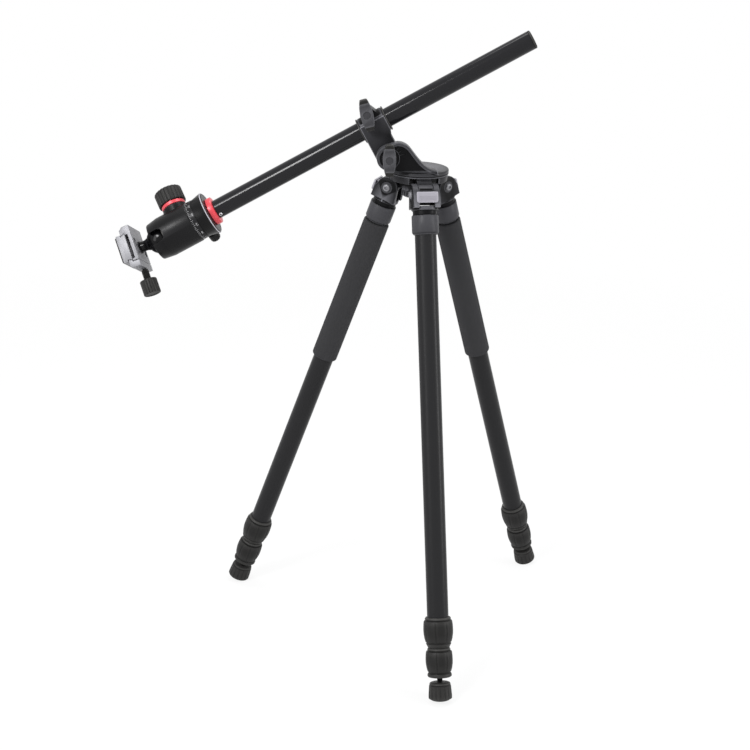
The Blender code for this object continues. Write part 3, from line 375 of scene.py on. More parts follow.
def wear_group():
    """Tone and gloss that shift with handling: paler along edges, gloss uneven over the faces."""
    group, entry, leave = new_group(
        "Handling Wear",
        [
            ("Cloud", "NodeSocketFloat", 0.5),
            ("Color", "NodeSocketColor", (0.02, 0.02, 0.02, 1.0)),
            ("Worn Color", "NodeSocketColor", (0.1, 0.1, 0.1, 1.0)),
            ("Edge Wear", "NodeSocketFloat", 0.3),
            ("Roughness", "NodeSocketFloat", 0.4),
            ("Unevenness", "NodeSocketFloat", 0.1),
        ],
        [("Color", "NodeSocketColor"), ("Roughness", "NodeSocketFloat")],
    )
    shape = group.nodes.new("ShaderNodeNewGeometry")
    ridge = group.nodes.new("ShaderNodeMapRange")
    ridge.inputs["From Min"].default_value = 0.51
    ridge.inputs["From Max"].default_value = 0.62
    group.links.new(shape.outputs["Pointiness"], ridge.inputs["Value"])
    worn = math_node(group, "MULTIPLY", ridge.outputs["Result"], entry.outputs["Edge Wear"])
    colour = mix_node(group, worn, entry.outputs["Color"], entry.outputs["Worn Color"])
    centred = math_node(group, "SUBTRACT", entry.outputs["Cloud"], 0.5)
    shift = math_node(group, "MULTIPLY", centred, entry.outputs["Unevenness"])
    group.links.new(colour, leave.inputs["Color"])
    group.links.new(math_node(group, "ADD", entry.outputs["Roughness"], shift), leave.inputs["Roughness"])
    return group


shader_groups = {}


def shader_group(name, maker):
    """One shared group for every material that uses it."""
    if name not in shader_groups:
        shader_groups[name] = maker()
    return shader_groups[name]


def group_node(tree, group):
    node = tree.nodes.new("ShaderNodeGroup")
    node.node_tree = group
    return node


def surface(
    name, colour, worn, *, wear, roughness, uneven, grain, depth, metallic=0.0, cloud=40.0, shine=0.5
):
    """A finish whose grain, tone and gloss all vary over the piece."""
    material = bpy.data.materials.new(name)
    material.use_nodes = True
    tree = material.node_tree
    shader = tree.nodes["Principled BSDF"]
    place = tree.nodes.new("ShaderNodeTexCoord")
    texture = group_node(tree, shader_group("grain", grain_group))
    texture.inputs["Grain Scale"].default_value = grain
    texture.inputs["Cloud Scale"].default_value = cloud
    tone = group_node(tree, shader_group("wear", wear_group))
    tone.inputs["Color"].default_value = (*colour, 1.0)
    tone.inputs["Worn Color"].default_value = (*worn, 1.0)
    tone.inputs["Edge Wear"].default_value = wear
    tone.inputs["Roughness"].default_value = roughness
    tone.inputs["Unevenness"].default_value = uneven
    bump = tree.nodes.new("ShaderNodeBump")
    bump.inputs["Strength"].default_value = 1.0
    bump.inputs["Distance"].default_value = depth
    tree.links.new(place.outputs["Object"], texture.inputs["Vector"])
    tree.links.new(texture.outputs["Cloud"], tone.inputs["Cloud"])
    tree.links.new(texture.outputs["Height"], bump.inputs["Height"])
    tree.links.new(tone.outputs["Color"], shader.inputs["Base Color"])
    tree.links.new(tone.outputs["Roughness"], shader.inputs["Roughness"])
    tree.links.new(bump.outputs["Normal"], shader.inputs["Normal"])
    shader.inputs["Metallic"].default_value = metallic
    shader.inputs["Specular IOR Level"].default_value = shine
    return material


# Finishes, each with a colour of the settings or one of its own
FINISHES = {
    # Anodised tube and head casing.
    "satin_black": dict(
        colour="anodised", worn=(0.08, 0.08, 0.085),
        wear=0.25, roughness=0.32, uneven=0.10, grain=1400.0, depth=0.00002, shine=0.12,
    ),
    "gloss_black": dict(
        colour="gloss", worn=(0.08, 0.08, 0.09),
        wear=0.2, roughness=0.13, uneven=0.03, grain=600.0, depth=0.000002, cloud=25.0, shine=0.18,
    ),
    # Powder-coated casting with a fine orange peel.
    "cast_black": dict(
        colour="casting", worn=(0.30, 0.30, 0.33),
        wear=0.6, roughness=0.34, uneven=0.12, grain=1100.0, depth=0.00005, shine=0.09,
    ),
    "latch_grey": dict(
        colour="latch", worn=(0.55, 0.54, 0.58),
        wear=0.5, roughness=0.38, uneven=0.10, grain=1100.0, depth=0.00004,
    ),
    # Bead-blasted and anodised plate.
    "titanium": dict(
        colour="titanium", worn=(0.50, 0.50, 0.52),
        wear=0.4, roughness=0.44, uneven=0.10, metallic=0.3, grain=2200.0, depth=0.00003,
    ),
    "moulded_rubber": dict(
        colour="rubber", worn=(0.085, 0.083, 0.08),
        wear=0.6, roughness=0.50, uneven=0.16, grain=700.0, depth=0.00006, cloud=60.0, shine=0.18,
    ),
    "knob_plastic": dict(
        colour="knob", worn=(0.24, 0.24, 0.26),
        wear=0.7, roughness=0.46, uneven=0.12, grain=1000.0, depth=0.00005, cloud=90.0, shine=0.25,
    ),
    "polished_steel": dict(
        colour=(0.62, 0.62, 0.64), worn=(0.85, 0.85, 0.86),
        wear=0.4, roughness=0.32, uneven=0.05, metallic=1.0, grain=500.0, depth=0.000003,
    ),
    "red_anodised": dict(
        colour="red", worn=(0.9, 0.25, 0.28),
        wear=0.35, roughness=0.34, uneven=0.08, metallic=0.25, grain=1600.0, depth=0.00002,
    ),
    "printed_white": dict(
        colour=(0.34, 0.34, 0.35), worn=(0.45, 0.45, 0.45),
        wear=0.1, roughness=0.6, uneven=0.1, grain=1500.0, depth=0.00001,
    ),
    # Closed-cell foam, matt and finely pitted.
    "grip_foam": dict(
        colour="foam", worn=(0.11, 0.11, 0.115),
        wear=0.2, roughness=0.86, uneven=0.10, grain=900.0, depth=0.0, cloud=30.0, shine=0.2,
    ),
}
FOAM_CELL_SCALE = 1100.0
FOAM_CELL_DEPTH = 0.0003
made_materials = {}


def add_cells(material):
    """Gives foam the bump of its closed cells."""
    tree = material.node_tree
    place = next(node for node in tree.nodes if node.type == "TEX_COORD")
    bump = next(node for node in tree.nodes if node.type == "BUMP")
    cells = group_node(tree, shader_group("cells", cell_group))
    cells.inputs["Cell Scale"].default_value = FOAM_CELL_SCALE
    bump.inputs["Distance"].default_value = FOAM_CELL_DEPTH
    tree.links.new(place.outputs["Object"], cells.inputs["Vector"])
    tree.links.new(cells.outputs["Height"], bump.inputs["Height"])


def finish(name):
    """One shared material for every piece of a finish."""
    if name not in made_materials:
        looks = dict(FINISHES[name])
        if isinstance(looks["colour"], str):
            looks["colour"] = getattr(bpy.context.scene.tripod_finishes, looks["colour"])
        made_materials[name] = surface(name, **looks)
        if name == "grip_foam":
            add_cells(made_materials[name])
    return made_materials[name]


# What a user would change
def length(label, about, default):
    return FloatProperty(
        name=label, description=about, default=default, min=0.0, subtype="DISTANCE", unit="LENGTH"
    )


def colour(label, about, default):
    return FloatVectorProperty(
        name=label, description=about, default=default, min=0.0, max=1.0, subtype="COLOR"
    )


class TripodFinishes(bpy.types.PropertyGroup):
    """Base colours of the finishes"""

    anodised: colour("Anodised", "Leg tubes and head casing", (0.0050, 0.0050, 0.0054))
    gloss: colour("Gloss black", "Column, ball and stem", (0.003, 0.003, 0.0035))
    casting: colour("Casting", "Powder-coated castings", (0.0038, 0.0038, 0.0044))
    latch: colour("Latch", "Angle latches", (0.27, 0.262, 0.295))
    titanium: colour("Titanium", "Clamp and quick-release plate", (0.155, 0.155, 0.168))
    rubber: colour("Rubber", "Twist locks, feet and knob covers", (0.0085, 0.0083, 0.0080))
    foam: colour("Foam", "Grips on two of the legs", (0.026, 0.026, 0.028))
    knob: colour("Knob", "Wing knobs", (0.032, 0.032, 0.036))
    red: colour("Red", "Disc under the head and ring of the main knob", (0.62, 0.026, 0.042))


class TripodStage(bpy.types.PropertyGroup):
    """Camera, floor and lamps"""

    lens: FloatProperty(name="Lens", description="Focal length", default=77.54, min=1.0, unit="CAMERA")
    place: FloatVectorProperty(
        name="Camera place", description="Camera from the hub's axis at pivot height",
        default=(-0.45864, -2.03614, 0.48754), subtype="TRANSLATION", unit="LENGTH",
    )
    turn: FloatVectorProperty(
        name="Camera turn", description="Tilt, roll and heading",
        default=(math.radians(70.19), math.radians(-1.792), math.radians(-10.714)),
        subtype="EULER", unit="ROTATION",
    )
    floor_size: length("Floor", "Side of the square floor", 14.0)
    lamp_level: FloatProperty(
        name="Lamp level", description="Share of the lamps' power", default=1.0, min=0.0,
    )


# Softboxes: place from the hub, width, height and power
SOFTBOXES = {
    "left_softbox": ((-2.2, -1.2, 0.9), 0.9, 2.2, 24.0),
    "line_lamp": ((-1.60, -1.42, 1.58), 0.60, 0.60, 36.0),
    "right_softbox": ((2.2, -1.0, 0.6), 0.5, 2.2, 34.0),
    "top_softbox": ((0.2, 0.3, 2.2), 2.4, 1.0, 38.0),
}
SENSOR_WIDTH = 36.0
CLIP_START = 0.05
FLOOR_THICKNESS = 0.02
AIM_BELOW_HUB = 0.2


def add_softbox(name, place, target, width, height, power):
    lamp = bpy.data.lights.new(name, "AREA")
    lamp.shape = "RECTANGLE"
    lamp.size = width
    lamp.size_y = height
    lamp.energy = power * bpy.context.scene.tripod_stage.lamp_level
    softbox = bpy.data.objects.new(name, lamp)
    bpy.context.scene.collection.objects.link(softbox)
    softbox.location = place
    softbox.rotation_euler = (Vector(target) - Vector(place)).to_track_quat("-Z", "Y").to_euler()


def sees_background(tree):
    """A mask of the rays that see the plain background: seen directly, in reflections or through glass."""
    seen = tree.nodes.new("ShaderNodeLightPath").outputs
    indirect = math_node(tree, "MAXIMUM", seen["Is Glossy Ray"], seen["Is Transmission Ray"])
    return math_node(tree, "MAXIMUM", seen["Is Camera Ray"], indirect)


# The floor's grey near the object, and where it fades to white
FLOOR_TONE = 0.86
FADE_START = 0.6
FADE_END = 2.0
STUDIO_LEVEL = 0.5
WHITE = (1.0, 1.0, 1.0, 1.0)


def floor_material():
    """Pale floor that the camera sees near white, with the object's soft shadow kept."""
    material = bpy.data.materials.new("floor")
    material.use_nodes = True
    tree = material.node_tree
    tree.nodes.remove(tree.nodes["Principled BSDF"])
    matt = tree.nodes.new("ShaderNodeBsdfDiffuse")
    matt.inputs["Color"].default_value = (FLOOR_TONE, FLOOR_TONE, FLOOR_TONE, 1.0)
    glow = tree.nodes.new("ShaderNodeEmission")
    place = tree.nodes.new("ShaderNodeTexCoord")
    away = tree.nodes.new("ShaderNodeVectorMath")
    away.operation = "LENGTH"
    fade = tree.nodes.new("ShaderNodeMapRange")
    fade.inputs["From Min"].default_value = FADE_START
    fade.inputs["From Max"].default_value = FADE_END
    fade.inputs["To Min"].default_value = FLOOR_TONE
    fade.inputs["To Max"].default_value = 1.0
    tree.links.new(place.outputs["Object"], away.inputs[0])
    tree.links.new(away.outputs["Value"], fade.inputs["Value"])
    share = math_node(tree, "MULTIPLY", sees_background(tree), fade.outputs["Result"])
    mix = tree.nodes.new("ShaderNodeMixShader")
    tree.links.new(share, mix.inputs["Fac"])
    tree.links.new(matt.outputs["BSDF"], mix.inputs[1])
    tree.links.new(glow.outputs["Emission"], mix.inputs[2])
    tree.links.new(mix.outputs["Shader"], tree.nodes["Material Output"].inputs["Surface"])
    return material


def pale_world():
    """White to the camera and in reflections, a plain studio level for the light on the object."""
    world = bpy.data.worlds.new("studio")
    world.use_nodes = True
    tree = world.node_tree
    light = tree.nodes["Background"]
    light.inputs["Color"].default_value = WHITE
    light.inputs["Strength"].default_value = STUDIO_LEVEL
    white = tree.nodes.new("ShaderNodeBackground")
    white.inputs["Color"].default_value = WHITE
    white.inputs["Strength"].default_value = 1.0
    mix = tree.nodes.new("ShaderNodeMixShader")
    tree.links.new(sees_background(tree), mix.inputs["Fac"])
    tree.links.new(light.outputs["Background"], mix.inputs[1])
    tree.links.new(white.outputs["Background"], mix.inputs[2])
    tree.links.new(mix.outputs["Shader"], tree.nodes["World Output"].inputs["Surface"])
    bpy.context.scene.world = world


class TRIPOD_OT_stage(bpy.types.Operator):
    """Camera at the photographed angle, pale floor and soft lamps"""

    bl_idname = "tripod.stage"
    bl_label = "Stage"

    def execute(self, context):
        stage = context.scene.tripod_stage
        hub = Vector(joints["turntable_turn"]["pos_m"])
        camera = bpy.data.objects.new("camera", bpy.data.cameras.new("camera"))
        context.scene.collection.objects.link(camera)
        camera.data.lens = stage.lens
        camera.data.sensor_width = SENSOR_WIDTH
        camera.data.clip_start = CLIP_START
        camera.location = hub + Vector(stage.place)
        camera.rotation_euler = Euler(stage.turn)
        context.scene.camera = camera
        reach = stage.floor_size / 2
        bm = box((-reach, -reach, -FLOOR_THICKNESS), (reach, reach, 0.0))
        floor = bpy.data.objects.new("floor", to_mesh("floor", bm))
        context.scene.collection.objects.link(floor)
        floor.data.materials.append(floor_material())
        pale_world()
        middle = hub - Vector((0.0, 0.0, AIM_BELOW_HUB))
        for name, (lamp_at, width, height, power) in SOFTBOXES.items():
            add_softbox(name, hub + Vector(lamp_at), middle, width, height, power)
        context.scene.view_settings.view_transform = "Standard"
        return {"FINISHED"}


# Legs
def tube_profile(outer, wall, low, high, edge):
    """A tube's wall with broken outer edges, from (radius, height) points."""
    return [
        (outer - edge, high), (outer, high - edge), (outer, low + edge), (outer - edge, low),
        (outer - wall, low), (outer - wall, high),
    ]


def fluted(bm, low, high, count, depth, share, fade):
    """Presses lengthwise grooves into a turned mesh between two heights."""
    for vertex in bm.verts:
        inside = min(vertex.co.z - low, high - vertex.co.z)
        if inside <= 0:
            continue
        turn = (math.atan2(vertex.co.y, vertex.co.x) / FULL_TURN * count) % 1.0
        offset = abs(turn - 0.5) * 2.0
        if offset > share:
            continue
        radius = vertex.co.xy.length
        press = depth * (1.0 - (offset / share) ** 2) * min(1.0, inside / fade)
        vertex.co.xy *= (radius - press) / radius


class TripodLegs(bpy.types.PropertyGroup):
    """Details of the legs"""

    tube_wall: length("Tube wall", "Wall of the leg tubes", 0.0013)
    tube_edge: length("Tube edge", "Broken edge at a tube's ends", 0.0003)
    bore_gap: length("Bore gap", "Gap between a lock or a grip and its tube", 0.0003)
    lock_panels: IntProperty(name="Lock panels", description="Rubber panels round a twist lock", default=8)
    panel_groove: length("Panel groove", "Depth of the grooves between the panels", 0.0005)
    foot_ribs: IntProperty(name="Foot ribs", description="Ribs round a rubber foot", default=16)
    thread_pitch: length("Thread pitch", "Pitch of the foot's spindle", 0.0015)


class TRIPOD_OT_leg_tubes(bpy.types.Operator):
    """Upper, middle and lower tube of each leg"""

    bl_idname = "tripod.leg_tubes"
    bl_label = "Leg tubes"

    def execute(self, context):
        legs = context.scene.tripod_legs
        for leg in LEGS:
            place = leg_frame(leg)
            for part in ("upper", "middle", "lower"):
                node = f"{leg}_{part}_tube"
                low, high = span(node, place)
                profile = tube_profile(girth(node, place), legs.tube_wall, low.z, high.z, legs.tube_edge)
                dress(node, revolved(profile, 64), place, "satin_black", "satin_black")
        return {"FINISHED"}


def lock_profile(radius, upper, lower, low, high, gap, lip):
    """A twist lock's side: a collar, a seam, a swelling rubber barrel, a groove and a tapered end."""
    height = high - low
    seat = high - height * 0.4
    outer = [
        (upper + gap, high), (upper + 0.0022, high - 0.0004), (upper + 0.0032, high - 0.0024),
        (upper + 0.0026, high - 0.0030), (upper + 0.0026, high - 0.0040),
        (radius - 0.0014, high - 0.0046), (radius - 0.0007, high - 0.0060),
        (radius - 0.0002, high - 0.0110), (radius, high - height * 0.42),
        (radius - 0.0002, high - height * 0.55), (radius - 0.0011, high - height * 0.70),
        (radius - 0.0023, high - height * 0.81), (radius - 0.0034, high - height * 0.825),
        (radius - 0.0034, high - height * 0.86),
    ]
    if lip:
        outer += [
            (radius - 0.0026, high - height * 0.875), (radius - 0.0018, high - height * 0.93),
            (radius - 0.0020, low + 0.0010), (radius - 0.0030, low),
        ]
    else:
        outer += [
            (radius - 0.0029, high - height * 0.875), (radius - 0.0050, low + 0.0006),
            (radius - 0.0056, low),
        ]
    inner = [(lower + gap, low), (lower + gap, seat), (upper + gap, seat)]
    return outer + inner


class TRIPOD_OT_twist_locks(bpy.types.Operator):
    """Rubber-sleeved twist locks, two on each leg"""

    bl_idname = "tripod.twist_locks"
    bl_label = "Twist locks"

    def execute(self, context):
        legs = context.scene.tripod_legs
        for leg in LEGS:
            place = leg_frame(leg)
            for part, upper, lower in (("upper", "upper", "middle"), ("lower", "middle", "lower")):
                node = f"{leg}_{part}_lock"
                low, high, radius = extent(node, place)
                profile = lock_profile(
                    radius, girth(f"{leg}_{upper}_tube", place), girth(f"{leg}_{lower}_tube", place),
                    low.z, high.z, legs.bore_gap, part == "lower",
                )
                bm = revolved(profile, 96)
                barrel_low = high.z - (high.z - low.z) * 0.8
                fluted(bm, barrel_low, high.z - 0.0047, legs.lock_panels, legs.panel_groove, 0.10, 0.002)
                dress(node, bm, place, "moulded_rubber", "rubber")
        return {"FINISHED"}


class TRIPOD_OT_foam_grips(bpy.types.Operator):
    """Foam grips on the left and the right leg"""

    bl_idname = "tripod.foam_grips"
    bl_label = "Foam grips"

    def execute(self, context):
        legs = context.scene.tripod_legs
        for leg in LEGS:
            node = leg + "_foam_grip"
            if node not in nodes:
                continue
            place = leg_frame(leg)
            low, high, radius = extent(node, place)
            bore = girth(leg + "_upper_tube", place) + legs.bore_gap
            top = arc((radius - 0.002, high.z - 0.002), 0.002, 90, 0, 5)
            bottom = arc((radius - 0.002, low.z + 0.002), 0.002, 0, -90, 5)
            profile = [(bore, high.z)] + top + bottom + [(bore, low.z)]
            dress(node, revolved(profile, 64), place, "grip_foam", "foam")
        return {"FINISHED"}


def threaded_profile(radius, low, high, pitch, depth):
    """Points down a threaded shank, one crest and one root for each pitch."""
    points = []
    turns = int((high - low) / pitch)
    for i in range(turns):
        crest = high - i * pitch
        points += [(radius, crest), (radius - depth, crest - pitch / 2)]
    return points + [(radius - depth, low)]


class TRIPOD_OT_feet(bpy.types.Operator):
    """Ribbed rubber feet on threaded spindles"""

    bl_idname = "tripod.feet"
    bl_label = "Feet"

    def execute(self, context):
        legs = context.scene.tripod_legs
        for leg in LEGS:
            place = leg_frame(leg)
            spindle = leg + "_foot_spindle"
            low, high = span(spindle, place)
            plug = girth(spindle, place)
            shank = girth_at(spindle, place, low.z)
            shoulder = span(leg + "_lower_tube", place)[0].z + 0.001
            profile = [(0.0, high.z), (plug, high.z), (plug, shoulder + 0.0008), (shank + 0.001, shoulder)]
            profile += threaded_profile(shank, low.z, shoulder, legs.thread_pitch, 0.0004) + [(0.0, low.z)]
            dress(spindle, revolved(profile, 40), place, "satin_black", "cast_black")
            node = leg + "_rubber_foot"
            low, high, radius = extent(node, place)
            bore = shank + legs.bore_gap
            rim = low.z + 0.0040
            profile = [
                (bore, high.z), (radius - 0.0040, high.z), (radius - 0.0022, high.z - 0.0008),
                (radius - 0.0014, high.z - 0.0024), (radius - 0.0018, high.z - 0.0030),
                (radius - 0.0018, high.z - 0.0038), (radius - 0.0010, high.z - 0.0044),
                (radius, rim + 0.0050), (radius, rim + 0.0010), (radius - 0.0008, rim),
                (radius - 0.0023, rim - 0.0004),
            ]
            sole = 0.032
            edge = math.asin((radius - 0.0023) / sole)
            steps = 8
            for i in range(1, steps + 1):
                angle = edge * (1 - i / steps)
                profile.append((sole * math.sin(angle), low.z + sole * (1 - math.cos(angle))))
            profile = [(0.0, high.z - 0.014), (bore, high.z - 0.014)] + profile
            bm = revolved(profile, 96)
            fluted(bm, rim + 0.0004, high.z - 0.0045, legs.foot_ribs, 0.0007, 0.35, 0.0015)
            flatten_sole(bm, place)
            dress(node, bm, place, "moulded_rubber", "rubber")
        return {"FINISHED"}


def flatten_sole(bm, place):
    """Presses what reaches below the floor up to it."""
    back = place.inverted()
    for vertex in bm.verts:
        world = place @ vertex.co
        if world.z < 0:
            world.z = 0.0
            vertex.co = back @ world


# Castings round the hub
UPRIGHT = Euler((math.radians(90), 0, math.radians(90))).to_matrix().to_4x4()
FLAT = Matrix.Rotation(math.radians(90), 4, "X")
SIDEWAYS = Matrix.Rotation(math.radians(90), 4, "Y")
FLIPPED = Matrix.Rotation(math.pi, 4, "X")


def pillowed(outline, low, high, edge):
    """A flat outline extruded along Z, with rounded rims."""
    bm = extruded(outline, low + edge, high - edge)
    ends = [face for face in bm.faces if abs(face.normal.z) > 0.9]
    for thickness, depth in ((0.25 * edge, 0.6 * edge), (0.6 * edge, 0.3 * edge), (0.4 * edge, 0.1 * edge)):
        for face in ends:
            bmesh.ops.inset_region(bm, faces=[face], thickness=thickness, depth=depth, use_even_offset=True)
    return bm


def eased(outline, low, high, edge):
    """A flat outline extruded along Z, with its ends drawn in to rounded rims about the middle."""
    bm = extruded(outline, low + edge, high - edge)
    reach_x = max(x for x, y in outline)
    reach_y = max(y for x, y in outline)
    ends = [face for face in bm.faces if abs(face.normal.z) > 0.9]
    for face in ends:
        side = math.copysign(1.0, face.normal.z)
        drawn = 0.0
        for inwards, rise in ((0.15, 0.5), (0.5, 0.87), (1.0, 1.0)):
            raised = bmesh.ops.extrude_face_region(bm, geom=[face])
            rim = [item for item in raised["geom"] if isinstance(item, bmesh.types.BMVert)]
            caps = [item for item in raised["geom"] if isinstance(item, bmesh.types.BMFace)]
            bmesh.ops.delete(bm, geom=[face], context="FACES_ONLY")
            before = drawn
            drawn = inwards * edge
            factors = ((reach_x - drawn) / (reach_x - before), (reach_y - drawn) / (reach_y - before), 1.0)
            bmesh.ops.scale(bm, verts=rim, vec=factors)
            level = (high - edge) if side > 0 else (low + edge)
            for vertex in rim:
                vertex.co.z = level + side * rise * edge
            face = caps[0]
    bmesh.ops.recalc_face_normals(bm, faces=bm.faces)
    return bm


def panelled(bm, rim, depth):
    """Sinks a panel into the upper end of a pillowed shape and leaves a rim round it."""
    face = max((face for face in bm.faces if face.normal.z > 0.9), key=lambda face: face.calc_area())
    bmesh.ops.inset_region(bm, faces=[face], thickness=rim, depth=0.0, use_even_offset=True)
    bmesh.ops.inset_region(bm, faces=[face], thickness=0.4 * depth, depth=-depth, use_even_offset=True)
    return bm


def side_frame(leg):
    """On the hub's axis at pivot height, with -Y towards a leg."""
    pos = joints["turntable_turn"]["pos_m"]
    return axes_at(pos, (0, 0, 1), -Vector(joints[leg + "_leg_swing"]["axis"]))


class TripodHub(bpy.types.PropertyGroup):
    """Sizes of the hub and its brackets"""

    reach: length("Pivot radius", "Hub's axis to a leg's pivot", 0.0379)
    top: length("Plate height", "Plate's top above the pivots", 0.0202)
    plate: length("Plate", "Radius of the hub's plate", 0.038)
    plate_thickness: length("Plate thickness", "Thickness of the hub's plate", 0.008)
    barrel: length("Barrel", "Radius of the barrel under the plate", 0.0238)
    bore: length("Bore", "Bore for the turntable's spigot", 0.0178)
    lug_half: length("Lug", "Half width of a leg's lug", 0.0097)
    nose: length("Lug nose", "Radius of a lug's nose", 0.0136)
    nose_grooves: IntProperty(name="Nose grooves", description="Grooves across a lug's nose", default=3)
    groove_start: length("First groove", "Height above the pivot", 0.0036)
    groove_pitch: length("Groove pitch", "From one groove to the next", 0.0026)
    swing_room: length("Swing room", "Room cleared round each pivot", 0.0215)
    eye: length("Eye", "Radius of a bracket's cheeks", 0.0145)
    bracket_half: length("Bracket", "Half width of a bracket", 0.0175)
    bracket_depth: length("Bracket depth", "Half depth of a bracket's cheeks", 0.0173)
    body_start: length("Bracket body", "Pivot to the bracket's solid body", 0.016)
    sleeve_start: length("Sleeve start", "Pivot to the sleeve's floor", 0.0255)
    rounding: length("Rounding", "Rounding of the castings' edges", 0.0009)


class TRIPOD_OT_hub(bpy.types.Operator):
    """Hub with a grooved lug for every leg and room cleared round each pivot"""

    bl_idname = "tripod.hub"
    bl_label = "Hub"

    def execute(self, context):
        size = context.scene.tripod_hub
        place = turntable_frame()
        under = size.top - size.plate_thickness
        edge = size.rounding
        profile = [(size.bore, size.top), (size.plate - edge, size.top)]
        profile += arc((size.plate - edge, size.top - edge), edge, 80, 0, 4)
        profile += arc((size.plate - edge, under + edge), edge, 0, -90, 4)
        profile += [(size.barrel, under), (size.barrel, 0.0), (size.bore, 0.0)]
        plate = revolved(profile, 96)
        back = place.inverted()
        scallops = []
        lugs = []
        grooves = []
        for leg in LEGS:
            side = back @ side_frame(leg)
            pivot = side @ Matrix.Translation((0, -size.reach, 0))
            half = size.bracket_half + 0.002
            room = [(0, half), (size.swing_room, half), (size.swing_room, -half), (0, -half)]
            scallops.append(moved(revolved(room, 64), pivot @ SIDEWAYS))
            inside = -size.bore - 0.0006
            crown = size.top - 0.0006
            outline = [(inside, crown), (inside, 0.0), (-size.barrel, 0.0)]
            outline += arc((-size.reach, 0), size.nose, 300, 90, 28)
            outline += [(-size.reach + 0.006, crown)]
            lug = pillowed(outline, -size.lug_half, size.lug_half, edge * 0.7)
            lugs.append(moved(lug, side @ UPRIGHT))
            for i in range(size.nose_grooves):
                level = size.groove_start + i * size.groove_pitch
                face = -size.reach - math.sqrt(size.nose**2 - level**2)
                half = size.lug_half - 0.0016
                end = level + size.groove_pitch * 0.4
                groove = box((-half, face - 0.004, level), (half, face + 0.0009, end))
                grooves.append(moved(groove, side))
        bm = carved(plate, *scallops)
        bm = carved(bm, *lugs, operation="UNION")
        bm = carved(bm, merged(*grooves))
        dress("hub", bm, place, "cast_black", "cast_black")
        return {"FINISHED"}


def bolt_profile(face, height, radius):
    """A domed head with a hexagon socket's rim, from (radius, height) points."""
    socket = radius * 0.45
    return [
        (0.0, face + height - 0.0016), (socket * 0.8, face + height - 0.0016),
        (socket, face + height - 0.0012), (socket, face + height - 0.0003),
        (socket + 0.0003, face + height), (radius * 0.72, face + height - 0.0002),
        (radius * 0.92, face + height - 0.0008), (radius, face + height - 0.0016),
        (radius, face + 0.0002), (0.0032, face + 0.0002),
    ]


class TRIPOD_OT_leg_bolts(bpy.types.Operator):
    """Domed steel bolt through each leg's bracket"""

    bl_idname = "tripod.leg_bolts"
    bl_label = "Leg bolts"

    def execute(self, context):
        size = context.scene.tripod_hub
        for leg in LEGS:
            node = leg + "_leg_bolt"
            place = side_frame(leg) @ Matrix.Translation((0, -size.reach, 0)) @ SIDEWAYS
            head = span(node, place)[1].z - size.bracket_half
            half = bolt_profile(size.bracket_half, head, girth(node, place))
            profile = half + [(radius, -level) for radius, level in reversed(half)]
            bm = revolved(profile, 48)
            dress(node, bm, place, "titanium", "steel")
        return {"FINISHED"}


class TRIPOD_OT_leg_brackets(bpy.types.Operator):
    """Cheeks and sleeve that join each leg to the hub"""

    bl_idname = "tripod.leg_brackets"
    bl_label = "Leg brackets"

    def execute(self, context):
        size = context.scene.tripod_hub
        for leg in LEGS:
            node = leg + "_leg_bracket"
            place = leg_frame(leg)
            half = size.bracket_half
            end = span(node, place)[0].z
            sleeve = girth(node, place, end, end + 0.004)
            bore = girth(leg + "_upper_tube", place) + GAP
            edge = size.rounding
            profile = [
                (0.0, -size.body_start + 0.0004), (half - 0.0008, -size.body_start + 0.0004),
                (half, -size.body_start - 0.0006), (half, -size.body_start - 0.0042),
                (half - 0.0009, -size.body_start - 0.0052), (half - 0.0018, -size.body_start - 0.0056),
                (half - 0.0018, -size.sleeve_start - 0.0004),
                (half - 0.0006, -size.sleeve_start - 0.0014), (sleeve, -size.sleeve_start - 0.0024),
                (sleeve, end + 0.0032), (sleeve - 0.0004, end + 0.0022),
                (sleeve - 0.0014, end + 0.0008), (bore + 0.0010, end), (bore, end),
                (bore, -size.sleeve_start), (0.0, -size.sleeve_start),
            ]
            body = revolved(profile, 96)
            foot = -size.body_start - 0.002
            depth = size.bracket_depth
            outline = arc((0, 0), size.eye, 0, 168, 32)
            outline += [(-depth, -0.004), (-depth, foot), (depth, foot), (depth, -size.body_start)]
            inner = size.lug_half + GAP
            cheeks = []
            for near, far in ((inner, half), (-half, -inner)):
                cheeks.append(moved(pillowed(outline, near, far, edge), UPRIGHT))
            boss = [
                (0, half + 0.0002), (0.0076, half + 0.0002), (0.0084, half - 0.0006),
                (0.0084, half - 0.004), (0, half - 0.004),
            ]
            for turn in (SIDEWAYS, SIDEWAYS @ FLIPPED):
                cheeks.append(moved(revolved(boss, 64), turn))
            bm = carved(body, *cheeks, operation="UNION")
            dress(node, bm, place, "cast_black", "cast_black")
        return {"FINISHED"}


